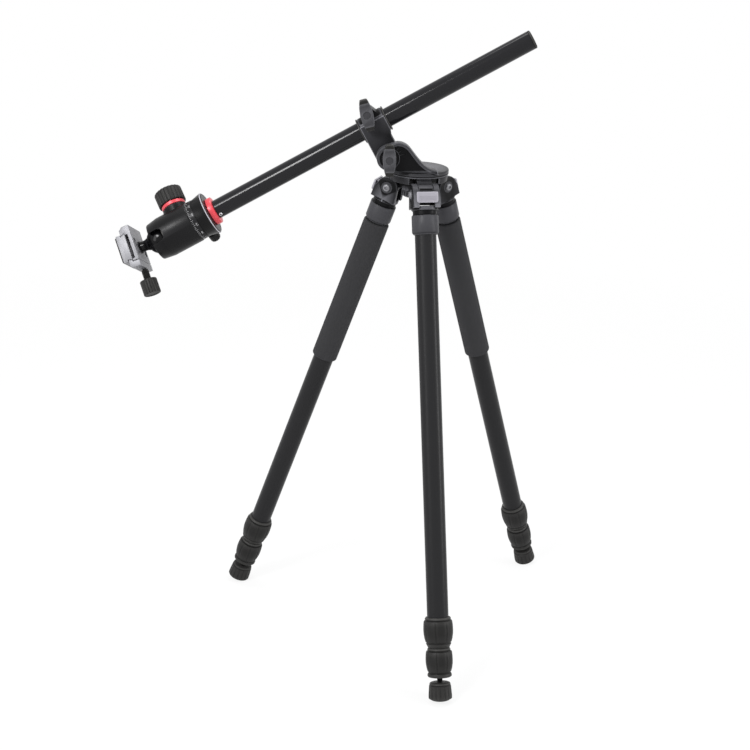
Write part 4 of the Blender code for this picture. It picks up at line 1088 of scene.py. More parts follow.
class TRIPOD_OT_angle_latches(bpy.types.Operator):
    """Pull latches that set the legs' angles"""

    bl_idname = "tripod.angle_latches"
    bl_label = "Angle latches"

    def execute(self, context):
        size = context.scene.tripod_hub
        for leg in LEGS:
            node = leg + "_angle_latch"
            place = leg_frame(leg)
            low, high = span(node, place)
            half = high.x
            face = low.y
            thickness = 0.0028
            top = 0.002
            corner = 0.0028
            small = 0.0014
            outline = arc((half - corner, low.z + corner), corner, -90, 0, 6)
            outline += arc((half - small, top - small), small, 0, 90, 4)
            outline += arc((-half + small, top - small), small, 90, 180, 4)
            outline += arc((-half + corner, low.z + corner), corner, 180, 270, 6)
            plate = moved(pillowed(outline, -face - thickness, -face, 0.0007), FLAT)
            ribs = []
            for i in range(3):
                level = low.z + 0.0030 + i * 0.0019
                reach = half - 0.003
                ribs.append(box((-reach, face - 0.0001, level), (reach, face + 0.0003, level + 0.0008)))
            tongue = size.lug_half - 0.0004
            nose = -size.nose - 0.0006
            neck = box((-tongue, face + 0.0012, low.z + 0.0012), (tongue, nose, high.z - 0.0012))
            bm = merged(carved(plate, *ribs), rounded(neck, 0.0004))
            dress(node, bm, place, "latch_grey", "titanium")
        return {"FINISHED"}


# Turntable, wing knobs and collar
class TripodTurntable(bpy.types.PropertyGroup):
    """Sizes of the turntable, its cheek and the collar"""

    plate: length("Plate", "Radius of the turntable", 0.0392)
    bottom: length("Underside", "Underside above the leg pivots", 0.0205)
    top: length("Top", "Top above the leg pivots", 0.0275)
    bore: length("Bore", "Bore for the upright column", 0.0134)
    spigot: length("Spigot", "Radius of the spigot through the hub", 0.0175)
    pivot_offset: length("Pivot offset", "Tilt pivot from the hub's axis and from the column's", 0.0415)
    pivot_height: length("Pivot height", "Tilt pivot above the leg pivots", 0.0458)
    cheek_inner: length("Cheek's inner face", "From the column's plane", 0.0184)
    cheek_outer: length("Cheek's outer face", "From the column's plane", 0.036)
    cheek_boss: length("Cheek's boss", "Radius round the tilt pivot", 0.016)
    hump: length("Hump", "Radius of the cheek's hump", 0.0204)
    hump_shift: length("Hump shift", "Hump's centre from the pivot", 0.0115)
    toe: length("Toe", "Far end of the cheek's slope", 0.022)
    toe_height: length("Toe height", "Slope's end above the turntable", 0.0035)
    slope_pull: length("Slope pull", "How far the slope keeps its heading at each end", 0.050)
    shoulder: FloatProperty(
        name="Shoulder", description="Round the hump, where the slope leaves it",
        default=math.radians(40.0), subtype="ANGLE", unit="ROTATION",
    )
    rim: length("Rim", "Rim round the cheek's panel", 0.0022)
    panel_depth: length("Panel depth", "Depth of the cheek's panel", 0.0014)
    ring_ribs: IntProperty(name="Ring ribs", description="Ribs round the turntable's lock ring", default=28)
    arm_half: length("Arm", "Half width of the collar's arm", 0.016)
    arm_near: length("Arm's near face", "From the column's plane", 0.0181)
    arm_far: length("Arm's far face", "From the column's plane", 0.002)
    collar: length("Collar", "Radius of the collar", 0.0165)
    head_side: length("Head side", "Collar's end towards the head", 0.0155)
    free_side: length("Free side", "Collar's end towards the column's free end", 0.019)
    ear_span: length("Ear span", "Column's axis to the clamp screw", 0.0205)
    ear_shift: length("Ear shift", "Clamp screw towards the free end", 0.001)
    ear_radius: length("Ear radius", "Tip of the clamp's ears", 0.0085)
    ear_half: length("Ears", "Half width over the clamp's ears", 0.0125)
    bush_wall: length("Bush", "Wall of the bush round the column", 0.0016)
    slit_half: length("Slit", "Half width of the collar's slit", 0.0013)


def cheek_outline(size):
    """The cheek's side view: a boss round the pivot, a hump beside it and a long S-shaped slope."""
    steps = 36
    hump = (-size.pivot_offset + size.hump_shift, size.pivot_height)
    shoulder = arc(hump, size.hump, math.degrees(size.shoulder), 96, 20)
    start = shoulder[0]
    heading = size.shoulder - math.radians(90)
    slope = []
    for i in range(steps, 0, -1):
        t = i / steps
        ease = t * t * (3 - 2 * t)
        leaving = size.slope_pull * t * (1 - t) ** 2
        arriving = size.slope_pull * t * t * (t - 1)
        x = start[0] + (size.toe - start[0]) * ease + leaving * math.cos(heading) + arriving
        y = start[1] + (size.top + size.toe_height - start[1]) * ease + leaving * math.sin(heading)
        slope.append((x, y))
    boss = arc((-size.pivot_offset, size.pivot_height), size.cheek_boss, 112, 250, 30)
    base = size.top - 0.0015
    return [(size.toe + 0.001, base)] + slope + shoulder + boss + [(-size.pivot_offset + 0.012, base)]


class TRIPOD_OT_turntable(bpy.types.Operator):
    """Turntable with the cheek that carries the column's pivot"""

    bl_idname = "tripod.turntable"
    bl_label = "Turntable"

    def execute(self, context):
        size = context.scene.tripod_turntable
        place = turntable_frame()
        foot = span("turntable", place)[0].z
        edge = 0.0016
        profile = [(size.bore, size.top), (size.plate - edge, size.top)]
        profile += arc((size.plate - edge, size.top - edge), edge, 75, 0, 5)
        profile += [
            (size.plate, size.bottom + 0.0030), (size.plate - 0.0006, size.bottom + 0.0026),
            (size.plate - 0.0006, size.bottom + 0.0020), (size.plate, size.bottom + 0.0016),
            (size.plate - 0.0002, size.bottom + 0.0004), (size.plate - 0.0008, size.bottom),
            (size.spigot, size.bottom), (size.spigot, foot), (size.bore, foot),
        ]
        plate = revolved(profile, 128)
        cheek = pillowed(cheek_outline(size), size.cheek_inner, size.cheek_outer, 0.0011)
        cheek = panelled(cheek, size.rim, size.panel_depth)
        pivot = FLAT @ Matrix.Translation((-size.pivot_offset, size.pivot_height, 0))
        face = size.cheek_outer
        boss = [
            (0, face - 0.0002), (0.0092, face - 0.0002), (0.0098, face - 0.0008),
            (0.0128, face - 0.0009), (0.0133, face - 0.0004), (0.0138, face - 0.0009),
            (0.0140, face - 0.004), (0, face - 0.004),
        ]
        ribs = []
        for turn in (18, 34, 50, 66):
            spoke = box((0.0134, -0.0005, face - 0.003), (cheek_reach(size, turn), 0.0005, face - 0.0007))
            ribs.append(moved(spoke, pivot @ Matrix.Rotation(math.radians(turn), 4, "Z")))
        bm = carved(plate, moved(cheek, FLAT), operation="UNION")
        bm = carved(bm, moved(revolved(boss, 72), pivot), *ribs, operation="UNION")
        dress("turntable", bm, place, "cast_black", "cast_black")
        return {"FINISHED"}


def cheek_reach(size, turn):
    """How far the cheek's panel reaches from the pivot along a spoke."""
    inner = size.hump - size.rim - 0.0008
    across = size.hump_shift * math.sin(math.radians(turn))
    return size.hump_shift * math.cos(math.radians(turn)) + math.sqrt(inner**2 - across**2)


class TRIPOD_OT_lock_ring(bpy.types.Operator):
    """Ribbed ring under the hub that locks the turntable"""

    bl_idname = "tripod.lock_ring"
    bl_label = "Lock ring"

    def execute(self, context):
        size = context.scene.tripod_turntable
        node = "turntable_lock_ring"
        place = turntable_frame()
        low, high, radius = extent(node, place)
        bore = size.spigot + GAP
        profile = [(bore, high.z), (radius - 0.0010, high.z), (radius - 0.0003, high.z - 0.0006)]
        profile += [(radius, high.z - 0.0016), (radius, low.z + 0.0022), (radius - 0.0006, low.z + 0.0012)]
        profile += [(radius - 0.0026, low.z), (bore, low.z)]
        bm = revolved(profile, size.ring_ribs * 8)
        fluted(bm, low.z + 0.0006, high.z - 0.0004, size.ring_ribs, 0.0007, 0.45, 0.0008)
        dress(node, bm, place, "cast_black", "cast_black")
        return {"FINISHED"}


class TripodKnobs(bpy.types.PropertyGroup):
    """Sizes of the knobs"""

    wing_length: length("Wing length", "Tip to tip", 0.0415)
    wing_width: length("Wing width", "In the middle", 0.0168)
    wing_tip: length("Wing tip", "Width at the tips", 0.0095)
    wing_thickness: length("Wing thickness", "Thickness of the wing", 0.0085)
    wing_stand: length("Wing stand", "Boss between the wing and its seat", 0.005)
    wing_boss: length("Wing boss", "Radius of the boss", 0.0072)
    tip_start: FloatProperty(
        name="Tip start", description="Share of the wing's half length where a grip begins",
        default=0.74, min=0.1, max=0.95,
    )
    tip_ribs: IntProperty(name="Tip ribs", description="Grip ribs on each end of a wing", default=4)


WING_KNOBS = {"tilt_lock_knob": "tilt_knob_twist", "column_clamp_knob": "collar_knob_twist"}


def wing_outline(size):
    """A barrel-shaped wing, wide in the middle, with grooved blunt tips."""
    steps = 72
    side = []
    corner = 0.0016
    for i in range(steps + 1):
        t = 2 * i / steps - 1
        half = size.wing_tip / 2 + (size.wing_width - size.wing_tip) / 2 * (1 - t * t)
        share = (abs(t) - 0.56) / 0.38
        if 0 < share < 1:
            half -= 0.00045 * math.sin(math.pi * size.tip_ribs * share) ** 2
        along = t * size.wing_length / 2
        gone = abs(along) - (size.wing_length / 2 - corner)
        if gone > 0:
            half -= corner - math.sqrt(max(0.0, corner**2 - gone**2))
        side.append((half, along))
    return side + [(-x, -y) for x, y in side]


def wing_tips(size, inner, outer):
    """Two boxes that take in the ends of a wing, where its grips are."""
    start = size.wing_length / 2 * size.tip_start
    end = size.wing_length
    reach = size.wing_width
    room = 0.001
    tips = []
    for near, far in ((start, end), (-end, -start)):
        tips.append(box((-reach, near, inner - room), (reach, far, outer + room)))
    return merged(*tips)


class TRIPOD_OT_wing_knobs(bpy.types.Operator):
    """Wing knobs of the tilt pivot and of the collar's clamp"""

    bl_idname = "tripod.wing_knobs"
    bl_label = "Wing knobs"

    def execute(self, context):
        size = context.scene.tripod_knobs
        for node, joint_name in WING_KNOBS.items():
            place = wing_frame(node, joint_name)
            low, high = span(node, place)
            outer = high.z
            inner = outer - size.wing_thickness
            edge = 0.0013
            wing = eased(wing_outline(size), inner, outer, edge)
            dish = [
                (0, outer + BEYOND), (0.0052, outer + BEYOND), (0.0052, outer - 0.0004),
                (0.0046, outer - 0.0009), (0, outer - 0.0009),
            ]
            bm = carved(wing, revolved(dish, 48))
            boss = [
                (0, inner + 0.001), (size.wing_boss, inner + 0.001), (size.wing_boss, inner - 0.0008),
                (size.wing_boss - 0.0006, inner - 0.0012), (size.wing_boss - 0.0006, inner - 0.0020),
                (size.wing_boss, inner - 0.0024), (size.wing_boss, inner - size.wing_stand + 0.0003),
                (size.wing_boss - 0.0003, inner - size.wing_stand),
            ]
            shank = girth_at(node, place, low.z)
            boss += [(shank, inner - size.wing_stand), (shank, low.z), (0, low.z)]
            bm = carved(bm, revolved(boss, 48), operation="UNION")
            whole = eased(wing_outline(size), inner, outer, edge)
            grips = carved(whole, wing_tips(size, inner, outer), operation="INTERSECT")
            bm = carved(bm, wing_tips(size, inner, outer))
            dress(node, bm, place, "knob_plastic", "grey_knob")
            finish_piece(node + "_tips", grips, place, home(node), finish("moulded_rubber"), "rubber")
        return {"FINISHED"}


def wing_frame(node, joint_name):
    """On a wing knob's axis, with Z towards its open face and Y along the wing."""
    place = knob_frame(joint_name)
    low, high = span(node, place)
    if high.xy.length < 0.1 and abs(high.z) < abs(low.z):
        place = place @ FLIPPED
    tips = corners_of(node, place)
    reach = max(tip.xy.length for tip in tips)
    ends = [tip for tip in tips if tip.xy.length > reach - 0.0001 and tip.z > 0]
    same = [tip for tip in ends if tip.xy.dot(ends[0].xy) > 0]
    middle = sum((tip.xy for tip in same), Vector((0, 0))) / len(same)
    return place @ Matrix.Rotation(math.atan2(middle.y, middle.x) - math.pi / 2, 4, "Z")


def collar_outline(size):
    """The collar and its arm, seen across the column."""
    axis = size.pivot_offset
    side = arc((0, 0), size.arm_half, 92, 268, 40)
    corner = [(axis - 0.020, -size.arm_half), (axis - 0.012, -size.free_side)]
    end = axis + 0.008
    return side + corner + [(end, -size.free_side), (end, size.head_side)]


def ear_outline(size):
    axis = size.pivot_offset
    tip = arc((axis + size.ear_span, -size.ear_shift), size.ear_radius, -75, 80, 24)
    return [(axis + 0.004, 0.0008 - size.free_side)] + tip + [(axis + 0.004, size.head_side - 0.0008)]


class TRIPOD_OT_collar(bpy.types.Operator):
    """Tilting collar with its arm, split ears and screw bosses"""

    bl_idname = "tripod.collar"
    bl_label = "Collar"

    def execute(self, context):
        size = context.scene.tripod_turntable
        place = collar_frame()
        axis = size.pivot_offset
        arm = moved(pillowed(collar_outline(size), -size.arm_far, size.arm_near, 0.0012), FLAT)
        radius = size.collar
        step = 0.0009
        top = size.head_side - 0.0004
        bottom = 0.0004 - size.free_side
        barrel = [
            (0, top), (radius - step, top), (radius, top - step),
            (radius, step + 0.0004 - size.free_side), (radius - step, bottom), (0, bottom),
        ]
        barrel = moved(revolved(barrel, 96), Matrix.Translation((axis, 0, 0)))
        ears = moved(pillowed(ear_outline(size), -size.ear_half, size.ear_half, 0.0010), FLAT)
        face = size.arm_near
        boss = [
            (0, face), (0.0118, face), (0.0124, face - 0.0006), (0.0124, face - 0.003),
            (0, face - 0.003),
        ]
        boss = moved(revolved(boss, 72), FLAT)
        face = size.ear_half
        seat = [(0, face), (0.0070, face), (0.0070, face - 0.002), (0, face - 0.002)]
        screw = FLAT @ Matrix.Translation((axis + size.ear_span, -size.ear_shift, 0))
        seat = moved(revolved(seat, 48), screw)
        bm = carved(arm, barrel, ears, boss, seat, operation="UNION")
        bore = size_of_bore()
        reach = 0.05
        hole = revolved([(0, reach), (bore, reach), (bore, -reach), (0, -reach)], 96)
        slit = box((axis - 0.003, -size.slit_half, -reach), (axis + 0.06, size.slit_half, reach))
        bm = carved(bm, slit, moved(hole, Matrix.Translation((axis, 0, 0))))
        dress("column_collar", bm, place, "cast_black", "cast_black")
        return {"FINISHED"}


def size_of_bore():
    """The collar's bore, just wider than the bush in it."""
    wall = bpy.context.scene.tripod_turntable.bush_wall
    return girth("column_tube", column_frame()) + wall + 0.0006


def add_bush():
    """The flanged bush between the collar and the column."""
    node = "column_bush"
    place = column_frame()
    low, high = span(node, place)
    flange = girth(node, place)
    thickness = 0.0016
    radius = size_of_bore() - GAP
    inner = girth("column_tube", place) + GAP
    edge = 0.0004
    profile = [
        (inner, high.z), (flange - edge, high.z), (flange, high.z - edge), (flange, high.z - thickness),
        (radius, high.z - thickness), (radius, low.z + thickness), (flange, low.z + thickness),
        (flange, low.z + edge), (flange - edge, low.z), (inner, low.z),
    ]
    dress(node, revolved(profile, 96), place, "moulded_rubber", "rubber")


class TRIPOD_OT_column(bpy.types.Operator):
    """Centre column with its bush, end cap, set screw and top disc"""

    bl_idname = "tripod.column"
    bl_label = "Column"

    def execute(self, context):
        add_bush()
        place = column_frame()
        low, high, radius = extent("column_tube", place)
        profile = tube_profile(radius, 0.0015, low.z, high.z, 0.0003)
        dress("column_tube", revolved(profile, 128), place, "gloss_black", "gloss_black")
        low, high = span("column_end_cap", place)
        face = low.z
        plug = girth_at("column_end_cap", place, high.z)
        profile = [
            (0, high.z), (plug, high.z), (plug, face + 0.0030), (radius, face + 0.0030),
            (radius, face + 0.0014), (radius - 0.0004, face + 0.0005), (radius - 0.0016, face),
            (radius - 0.0045, face), (radius - 0.0049, face + 0.0005), (0, face + 0.0005),
        ]
        dress("column_end_cap", revolved(profile, 96), place, "moulded_rubber", "cast_black")
        low, high = span("column_top_disc", place)
        disc = girth("column_top_disc", place)
        bore = 0.0045
        profile = [
            (bore, high.z), (disc - 0.0007, high.z), (disc, high.z - 0.0007), (disc, low.z + 0.0010),
            (disc - 0.0004, low.z + 0.0003), (disc - 0.0010, low.z), (bore, low.z),
        ]
        dress("column_top_disc", revolved(profile, 128), place, "red_anodised", "red")
        add_set_screw(place)
        return {"FINISHED"}


def add_set_screw(column):
    """The small screw near the column's top, with a hexagon socket."""
    node = "column_set_screw"
    corners = corners_of(node, column)
    middle = sum(corners, Vector()) / len(corners)
    outwards = Vector((middle.x, middle.y, 0))
    place = column @ axes_at((0, 0, middle.z), outwards, (0, 0, 1))
    low, high, radius = extent(node, place)
    profile = [
        (0, high.z - 0.0008), (radius * 0.5, high.z - 0.0006), (radius * 0.55, high.z),
        (radius - 0.0003, high.z), (radius, high.z - 0.0003), (radius, low.z), (0, low.z),
    ]
    dress(node, revolved(profile, 32), place, "polished_steel", "steel")


# Ball head
class TripodHead(bpy.types.PropertyGroup):
    """Sizes of the ball head"""

    disc: length("Base thickness", "Flanged part of the base", 0.0158)
    base: length("Base", "Radius of the base's flange", 0.02925)
    neck: length("Neck", "Radius where the scale starts", 0.0262)
    scale: length("Scale", "Radius of the pan scale", 0.0267)
    ticks: IntProperty(name="Ticks", description="Marks round the pan scale", default=72)
    numbers: IntProperty(name="Numbers", description="Figures round the pan scale", default=12)
    figure_height: length("Figure height", "Height of the pan scale's figures", 0.0031)
    housing: length("Housing", "Radius of the housing", 0.0275)
    front: length("Front", "Radius of the housing's front rim", 0.0252)
    taper: length("Taper", "Length of the housing's tapered front", 0.016)
    ball: length("Ball", "Radius of the ball", 0.0188)
    notch_half: length("Notch", "Half width of the notch", 0.0088)
    notch_depth: length("Notch depth", "Depth of the notch", 0.020)
    boss: length("Boss", "Radius of the main knob's boss", 0.0165)
    boss_reach: length("Boss reach", "From the head's axis", 0.0305)
    knob_ribs: IntProperty(name="Knob ribs", description="Ribs round the main knob", default=22)
    pan_ribs: IntProperty(name="Pan knob ribs", description="Ribs round the pan knob", default=14)


def ribbed_outline(radius, depth, ribs, steps=12):
    """A round outline with shallow rounded grooves between its ribs."""
    points = []
    for i in range(ribs * steps):
        turn = i / (ribs * steps)
        share = (turn * ribs) % 1.0
        groove = max(0.0, 1.0 - ((share - 0.5) / 0.22) ** 2)
        reach = radius - depth * groove
        points.append((reach * math.cos(FULL_TURN * turn), reach * math.sin(FULL_TURN * turn)))
    return points


class TRIPOD_OT_head_base(bpy.types.Operator):
    """Head's base with the pan scale's ticks and figures"""

    bl_idname = "tripod.head_base"
    bl_label = "Head base"

    def execute(self, context):
        size = context.scene.tripod_head
        place = column_frame()
        top = span("head_base", place)[1].z
        start = span("column_top_disc", place)[1].z + GAP
        scale_start = start + size.disc
        profile = [
            (0, top), (size.scale - 0.0003, top), (size.scale, top - 0.0003),
            (size.scale, scale_start + 0.0014), (size.scale - 0.0007, scale_start + 0.0011),
            (size.scale - 0.0007, scale_start + 0.0006), (size.neck, scale_start),
            (size.neck + 0.0003, scale_start - 0.0018), (size.base - 0.0004, start + 0.0032),
            (size.base, start + 0.0026), (size.base, start + 0.0021), (size.base - 0.0019, start),
            (0, start),
        ]
        dress("head_base", revolved(profile, 160), place, "satin_black", "satin_black")
        rim = [
            (size.base, start + 0.0022), (size.base - 0.0001, start + 0.0017),
            (size.base - 0.0008, start + 0.0010), (size.base - 0.0014, start + 0.0018),
            (size.base - 0.0008, start + 0.0026),
        ]
        body = home("head_base")
        finish_piece("base_rim", revolved(rim, 160), place, body, finish("latch_grey"), "steel")
        half = 0.00016
        marks = []
        for i in range(size.ticks):
            reach = 0.0034 if i % 3 == 0 else 0.0021
            mark = box(
                (size.scale - 0.0002, -half, top - reach - 0.0003),
                (size.scale + 0.00005, half, top - 0.0003),
            )
            marks.append(moved(mark, Matrix.Rotation(FULL_TURN * i / size.ticks, 4, "Z")))
        finish_piece("scale_ticks", merged(*marks), place, body, finish("printed_white"), "steel")
        figures = []
        for i in range(size.numbers):
            figure = lettering(str(i * 360 // size.numbers), size.figure_height)
            wrap(figure, size.scale, FULL_TURN * i / size.numbers, top - 0.0068)
            figures.append(figure)
        finish_piece("scale_figures", merged(*figures), place, body, finish("printed_white"), "steel")
        return {"FINISHED"}


def lettering(text, height):
    """Flat figures in the XY plane, centred on X, as a thin mesh."""
    curve = bpy.data.curves.new("figures", "FONT")
    curve.body = text
    curve.size = height
    curve.align_x = "CENTER"
    curve.extrude = 0.0001
    curve.resolution_u = 3
    shape = bpy.data.objects.new("figures", curve)
    bpy.context.scene.collection.objects.link(shape)
    bpy.context.view_layer.update()
    evaluated = shape.evaluated_get(bpy.context.evaluated_depsgraph_get())
    bm = bmesh.new()
    bm.from_mesh(evaluated.to_mesh())
    evaluated.to_mesh_clear()
    bpy.data.objects.remove(shape)
    bpy.data.curves.remove(curve)
    bmesh.ops.remove_doubles(bm, verts=bm.verts, dist=WELD)
    return bm


def wrap(bm, radius, turn, level):
    """Bends a flat mesh onto a cylinder about Z, with its Y upwards."""
    for vertex in bm.verts:
        angle = turn + vertex.co.x / radius
        reach = radius - 0.00005 + vertex.co.z
        vertex.co = (reach * math.cos(angle), reach * math.sin(angle), level + vertex.co.y)


def turned_knob(radius, depth, ribs, low, high, edge, dish):
    """A ribbed knob along Z with rounded ends and a shallow dished face."""
    bm = eased(ribbed_outline(radius, depth, ribs), low, high, edge)
    if dish:
        inner = radius - depth - edge - 0.0006
        cap = [
            (0, high + BEYOND), (inner, high + BEYOND), (inner, high),
            (inner - 0.0008, high - dish), (0, high - dish),
        ]
        bm = carved(bm, revolved(cap, 72))
    return bm


class TRIPOD_OT_pan_knob(bpy.types.Operator):
    """Small knob that locks the head's panning"""

    bl_idname = "tripod.pan_knob"
    bl_label = "Pan knob"

    def execute(self, context):
        size = context.scene.tripod_head
        node = "pan_lock_knob"
        place = outwards_frame(node, "pan_knob_twist")
        low, high, radius = extent(node, place)
        start = high.z - 0.012
        knob = turned_knob(radius, 0.0005, size.pan_ribs, start, high.z, 0.0008, 0.0005)
        shaft = girth_at(node, place, low.z)
        collar = shaft + 0.0016
        stem = [
            (0, start + 0.001), (collar, start + 0.001), (collar, start - 0.0016),
            (shaft, start - 0.002), (shaft, low.z), (0, low.z),
        ]
        bm = carved(knob, revolved(stem, 48), operation="UNION")
        dress(node, bm, place, "satin_black", "satin_black")
        return {"FINISHED"}


def outwards_frame(node, joint_name):
    """On a knob's axis, with Z from the shaft's end towards the knob's face."""
    place = knob_frame(joint_name)
    low, high = span(node, place)
    wide_low = girth(node, place, high=low.z + WELD)
    wide_high = girth(node, place, high.z - WELD)
    if wide_low > wide_high:
        place = place @ FLIPPED
    return place


class TRIPOD_OT_head_housing(bpy.types.Operator):
    """Housing round the ball, with its mouth, notch and knob boss"""

    bl_idname = "tripod.head_housing"
    bl_label = "Head housing"

    def execute(self, context):
        size = context.scene.tripod_head
        node = "head_housing"
        place = column_frame()
        low, high = span(node, place)
        start, end = low.z, high.z
        profile = [
            (0, end), (size.front - 0.0012, end), (size.front - 0.0004, end - 0.0003),
            (size.front, end - 0.0012), (size.housing - 0.0003, end - size.taper + 0.002),
            (size.housing, end - size.taper), (size.housing, start + 0.0012),
            (size.housing - 0.0003, start + 0.0005), (size.housing - 0.0007, start), (0, start),
        ]
        body = revolved(profile, 160)
        knob = outwards_frame("main_lock_knob", "ball_knob_twist")
        centre = place.inverted() @ knob
        boss = [
            (0, size.boss_reach), (size.boss - 0.0006, size.boss_reach),
            (size.boss, size.boss_reach - 0.0006), (size.boss, size.housing * 0.5),
            (0, size.housing * 0.5),
        ]
        rise = knob_origin(centre)
        body = carved(body, moved(revolved(boss, 96), rise), operation="UNION")
        ball_at = ball_height(place)
        cup = size.ball + 0.0028
        mouth = math.sqrt(size.ball**2 - (end - ball_at) ** 2) + 0.0006
        cavity = [
            (0, end + BEYOND), (mouth + 0.0010, end + BEYOND), (mouth + 0.0010, end), (mouth, end - 0.0010),
            (cup, ball_at + 0.0005), (cup, ball_at - cup), (0, ball_at - cup),
        ]
        bottom = end - size.notch_depth + size.notch_half
        outline = arc((0, bottom), size.notch_half, 180, 360, 32)
        outline += [(size.notch_half, end + BEYOND), (-size.notch_half, end + BEYOND)]
        notch = moved(extruded(outline, size.ball / 2, 2 * size.housing), notch_turn(place) @ UPRIGHT)
        bm = carved(body, revolved(cavity, 128), notch)
        dress(node, bm, place, "satin_black", "satin_black", angle=math.radians(25))
        return {"FINISHED"}


def knob_origin(centre):
    """The knob's frame moved along its axis to the head's axis."""
    axis = centre.to_3x3() @ Vector((0, 0, 1))
    point = centre.translation
    along = (point.x * axis.x + point.y * axis.y) / (axis.x**2 + axis.y**2)
    return Matrix.Translation(-axis * along) @ centre


def notch_turn(place):
    """The notch's turn about the head's axis, found where the packed rim is open."""
    corners = corners_of("head_housing", place)
    end = max(corner.z for corner in corners)
    size = bpy.context.scene.tripod_head
    floor = end - size.notch_depth
    base = [c for c in corners if abs(c.z - floor) < 0.0006 and c.xy.length > size.ball]
    middle = sum((c.xy for c in base), Vector((0, 0))) / len(base)
    return Matrix.Rotation(math.atan2(middle.y, middle.x), 4, "Z")


class TRIPOD_OT_main_knob(bpy.types.Operator):
    """Main knob of the ball, with its coloured ring"""

    bl_idname = "tripod.main_knob"
    bl_label = "Main knob"

    def execute(self, context):
        size = context.scene.tripod_head
        node = "main_lock_knob"
        place = outwards_frame(node, "ball_knob_twist")
        low, high, radius = extent(node, place)
        start = high.z - 0.020
        knob = turned_knob(radius, 0.0009, size.knob_ribs, start, high.z, 0.0012, 0.0009)
        shaft = girth_at(node, place, low.z)
        stem = revolved([(0, start + 0.001), (shaft, start + 0.001), (shaft, low.z), (0, low.z)], 48)
        bm = carved(knob, stem, operation="UNION")
        dress(node, bm, place, "moulded_rubber", "rubber")
        ring = "main_knob_ring"
        low, high = span(ring, place)
        outer = girth(ring, place)
        edge = 0.0006
        profile = [
            (shaft + GAP, high.z), (outer - edge, high.z), (outer, high.z - edge),
            (outer, low.z + edge), (outer - edge, low.z), (shaft + GAP, low.z),
        ]
        dress(ring, revolved(profile, 96), place, "red_anodised", "red")
        return {"FINISHED"}


class TRIPOD_OT_ball(bpy.types.Operator):
    """Ball, its seat and its stem"""

    bl_idname = "tripod.ball"
    bl_label = "Ball"

    def execute(self, context):
        size = context.scene.tripod_head
        place = clamp_frame()
        flat = 0.9
        top = math.acos(flat)
        steps = 40
        profile = [(0, size.ball * flat)]
        for i in range(steps + 1):
            angle = top + (math.pi - top) * i / steps
            profile.append((size.ball * math.sin(angle), size.ball * math.cos(angle)))
        profile[-1] = (0, -size.ball)
        dress("ball", revolved(profile, 96), place, "gloss_black", "gloss_black")
        low, high = span("ball_stem", place)
        radius = girth_at("ball_stem", place, high.z)
        foot = girth("ball_stem", place)
        profile = [
            (0, high.z), (radius + 0.0012, high.z), (radius + 0.0012, high.z - 0.0016),
            (radius, high.z - 0.0026), (radius - 0.0004, (low.z + high.z) / 2),
            (radius, low.z + 0.0030), (foot, low.z + 0.0006), (foot - 0.0004, low.z), (0, low.z),
        ]
        profile = [(min(reach, foot), level) for reach, level in profile]
        dress("ball_stem", revolved(profile, 72), place, "gloss_black", "gloss_black")
        seat = column_frame()
        ball_at = ball_height(seat)
        low, high = span("ball_cup", seat)
        bowl = size.ball + GAP
        outer = girth("ball_cup", seat)
        edge = math.acos((ball_at - high.z) / bowl)
        steps = 24
        profile = []
        for i in range(steps + 1):
            angle = edge * i / steps
            profile.append((bowl * math.sin(angle), ball_at - bowl * math.cos(angle)))
        profile += [(outer, high.z), (outer, low.z), (0, low.z)]
        dress("ball_cup", revolved(profile, 96), seat, "moulded_rubber", "rubber")
        return {"FINISHED"}


# Clamp and quick-release plate
class TripodClamp(bpy.types.PropertyGroup):
    """Sizes of the clamp and its plate"""

    underside: length("Underside", "Ball's centre to the clamp", 0.030)
    floor: length("Floor", "Thickness under the dovetail", 0.0085)
    thickness: length("Thickness", "Thickness over the lips", 0.0145)
    half_length: length("Half length", "Along the dovetail", 0.025)
    fixed_side: length("Fixed side", "Stem's axis to the fixed side", 0.0285)
    jaw_side: length("Jaw side", "Stem's axis to the jaw's outer face", 0.029)
    jaw: length("Jaw", "Thickness of the jaw", 0.0085)
    dovetail: length("Dovetail", "Half width at the lips", 0.0165)
    flare: length("Flare", "Undercut of the dovetail", 0.0025)
    channel_half: length("Channel", "Half width of the channel in the floor", 0.0168)
    channel_depth: length("Channel depth", "Depth of the channel in the floor", 0.0040)
    window_half: length("Window", "Half length of a window across the dovetail", 0.0105)
    window_width: length("Window width", "Width of a window along the dovetail", 0.0084)
    window_shift: length("Window shift", "A window's middle from the stem's axis", 0.0165)
    knob_ribs: IntProperty(name="Knob ribs", description="Ribs round the clamp's knob", default=18)
    screw_pitch: length("Screw pitch", "Pitch of the jaw's screw", 0.0015)
    rounding: length("Rounding", "Rounding of the plates' edges", 0.0007)


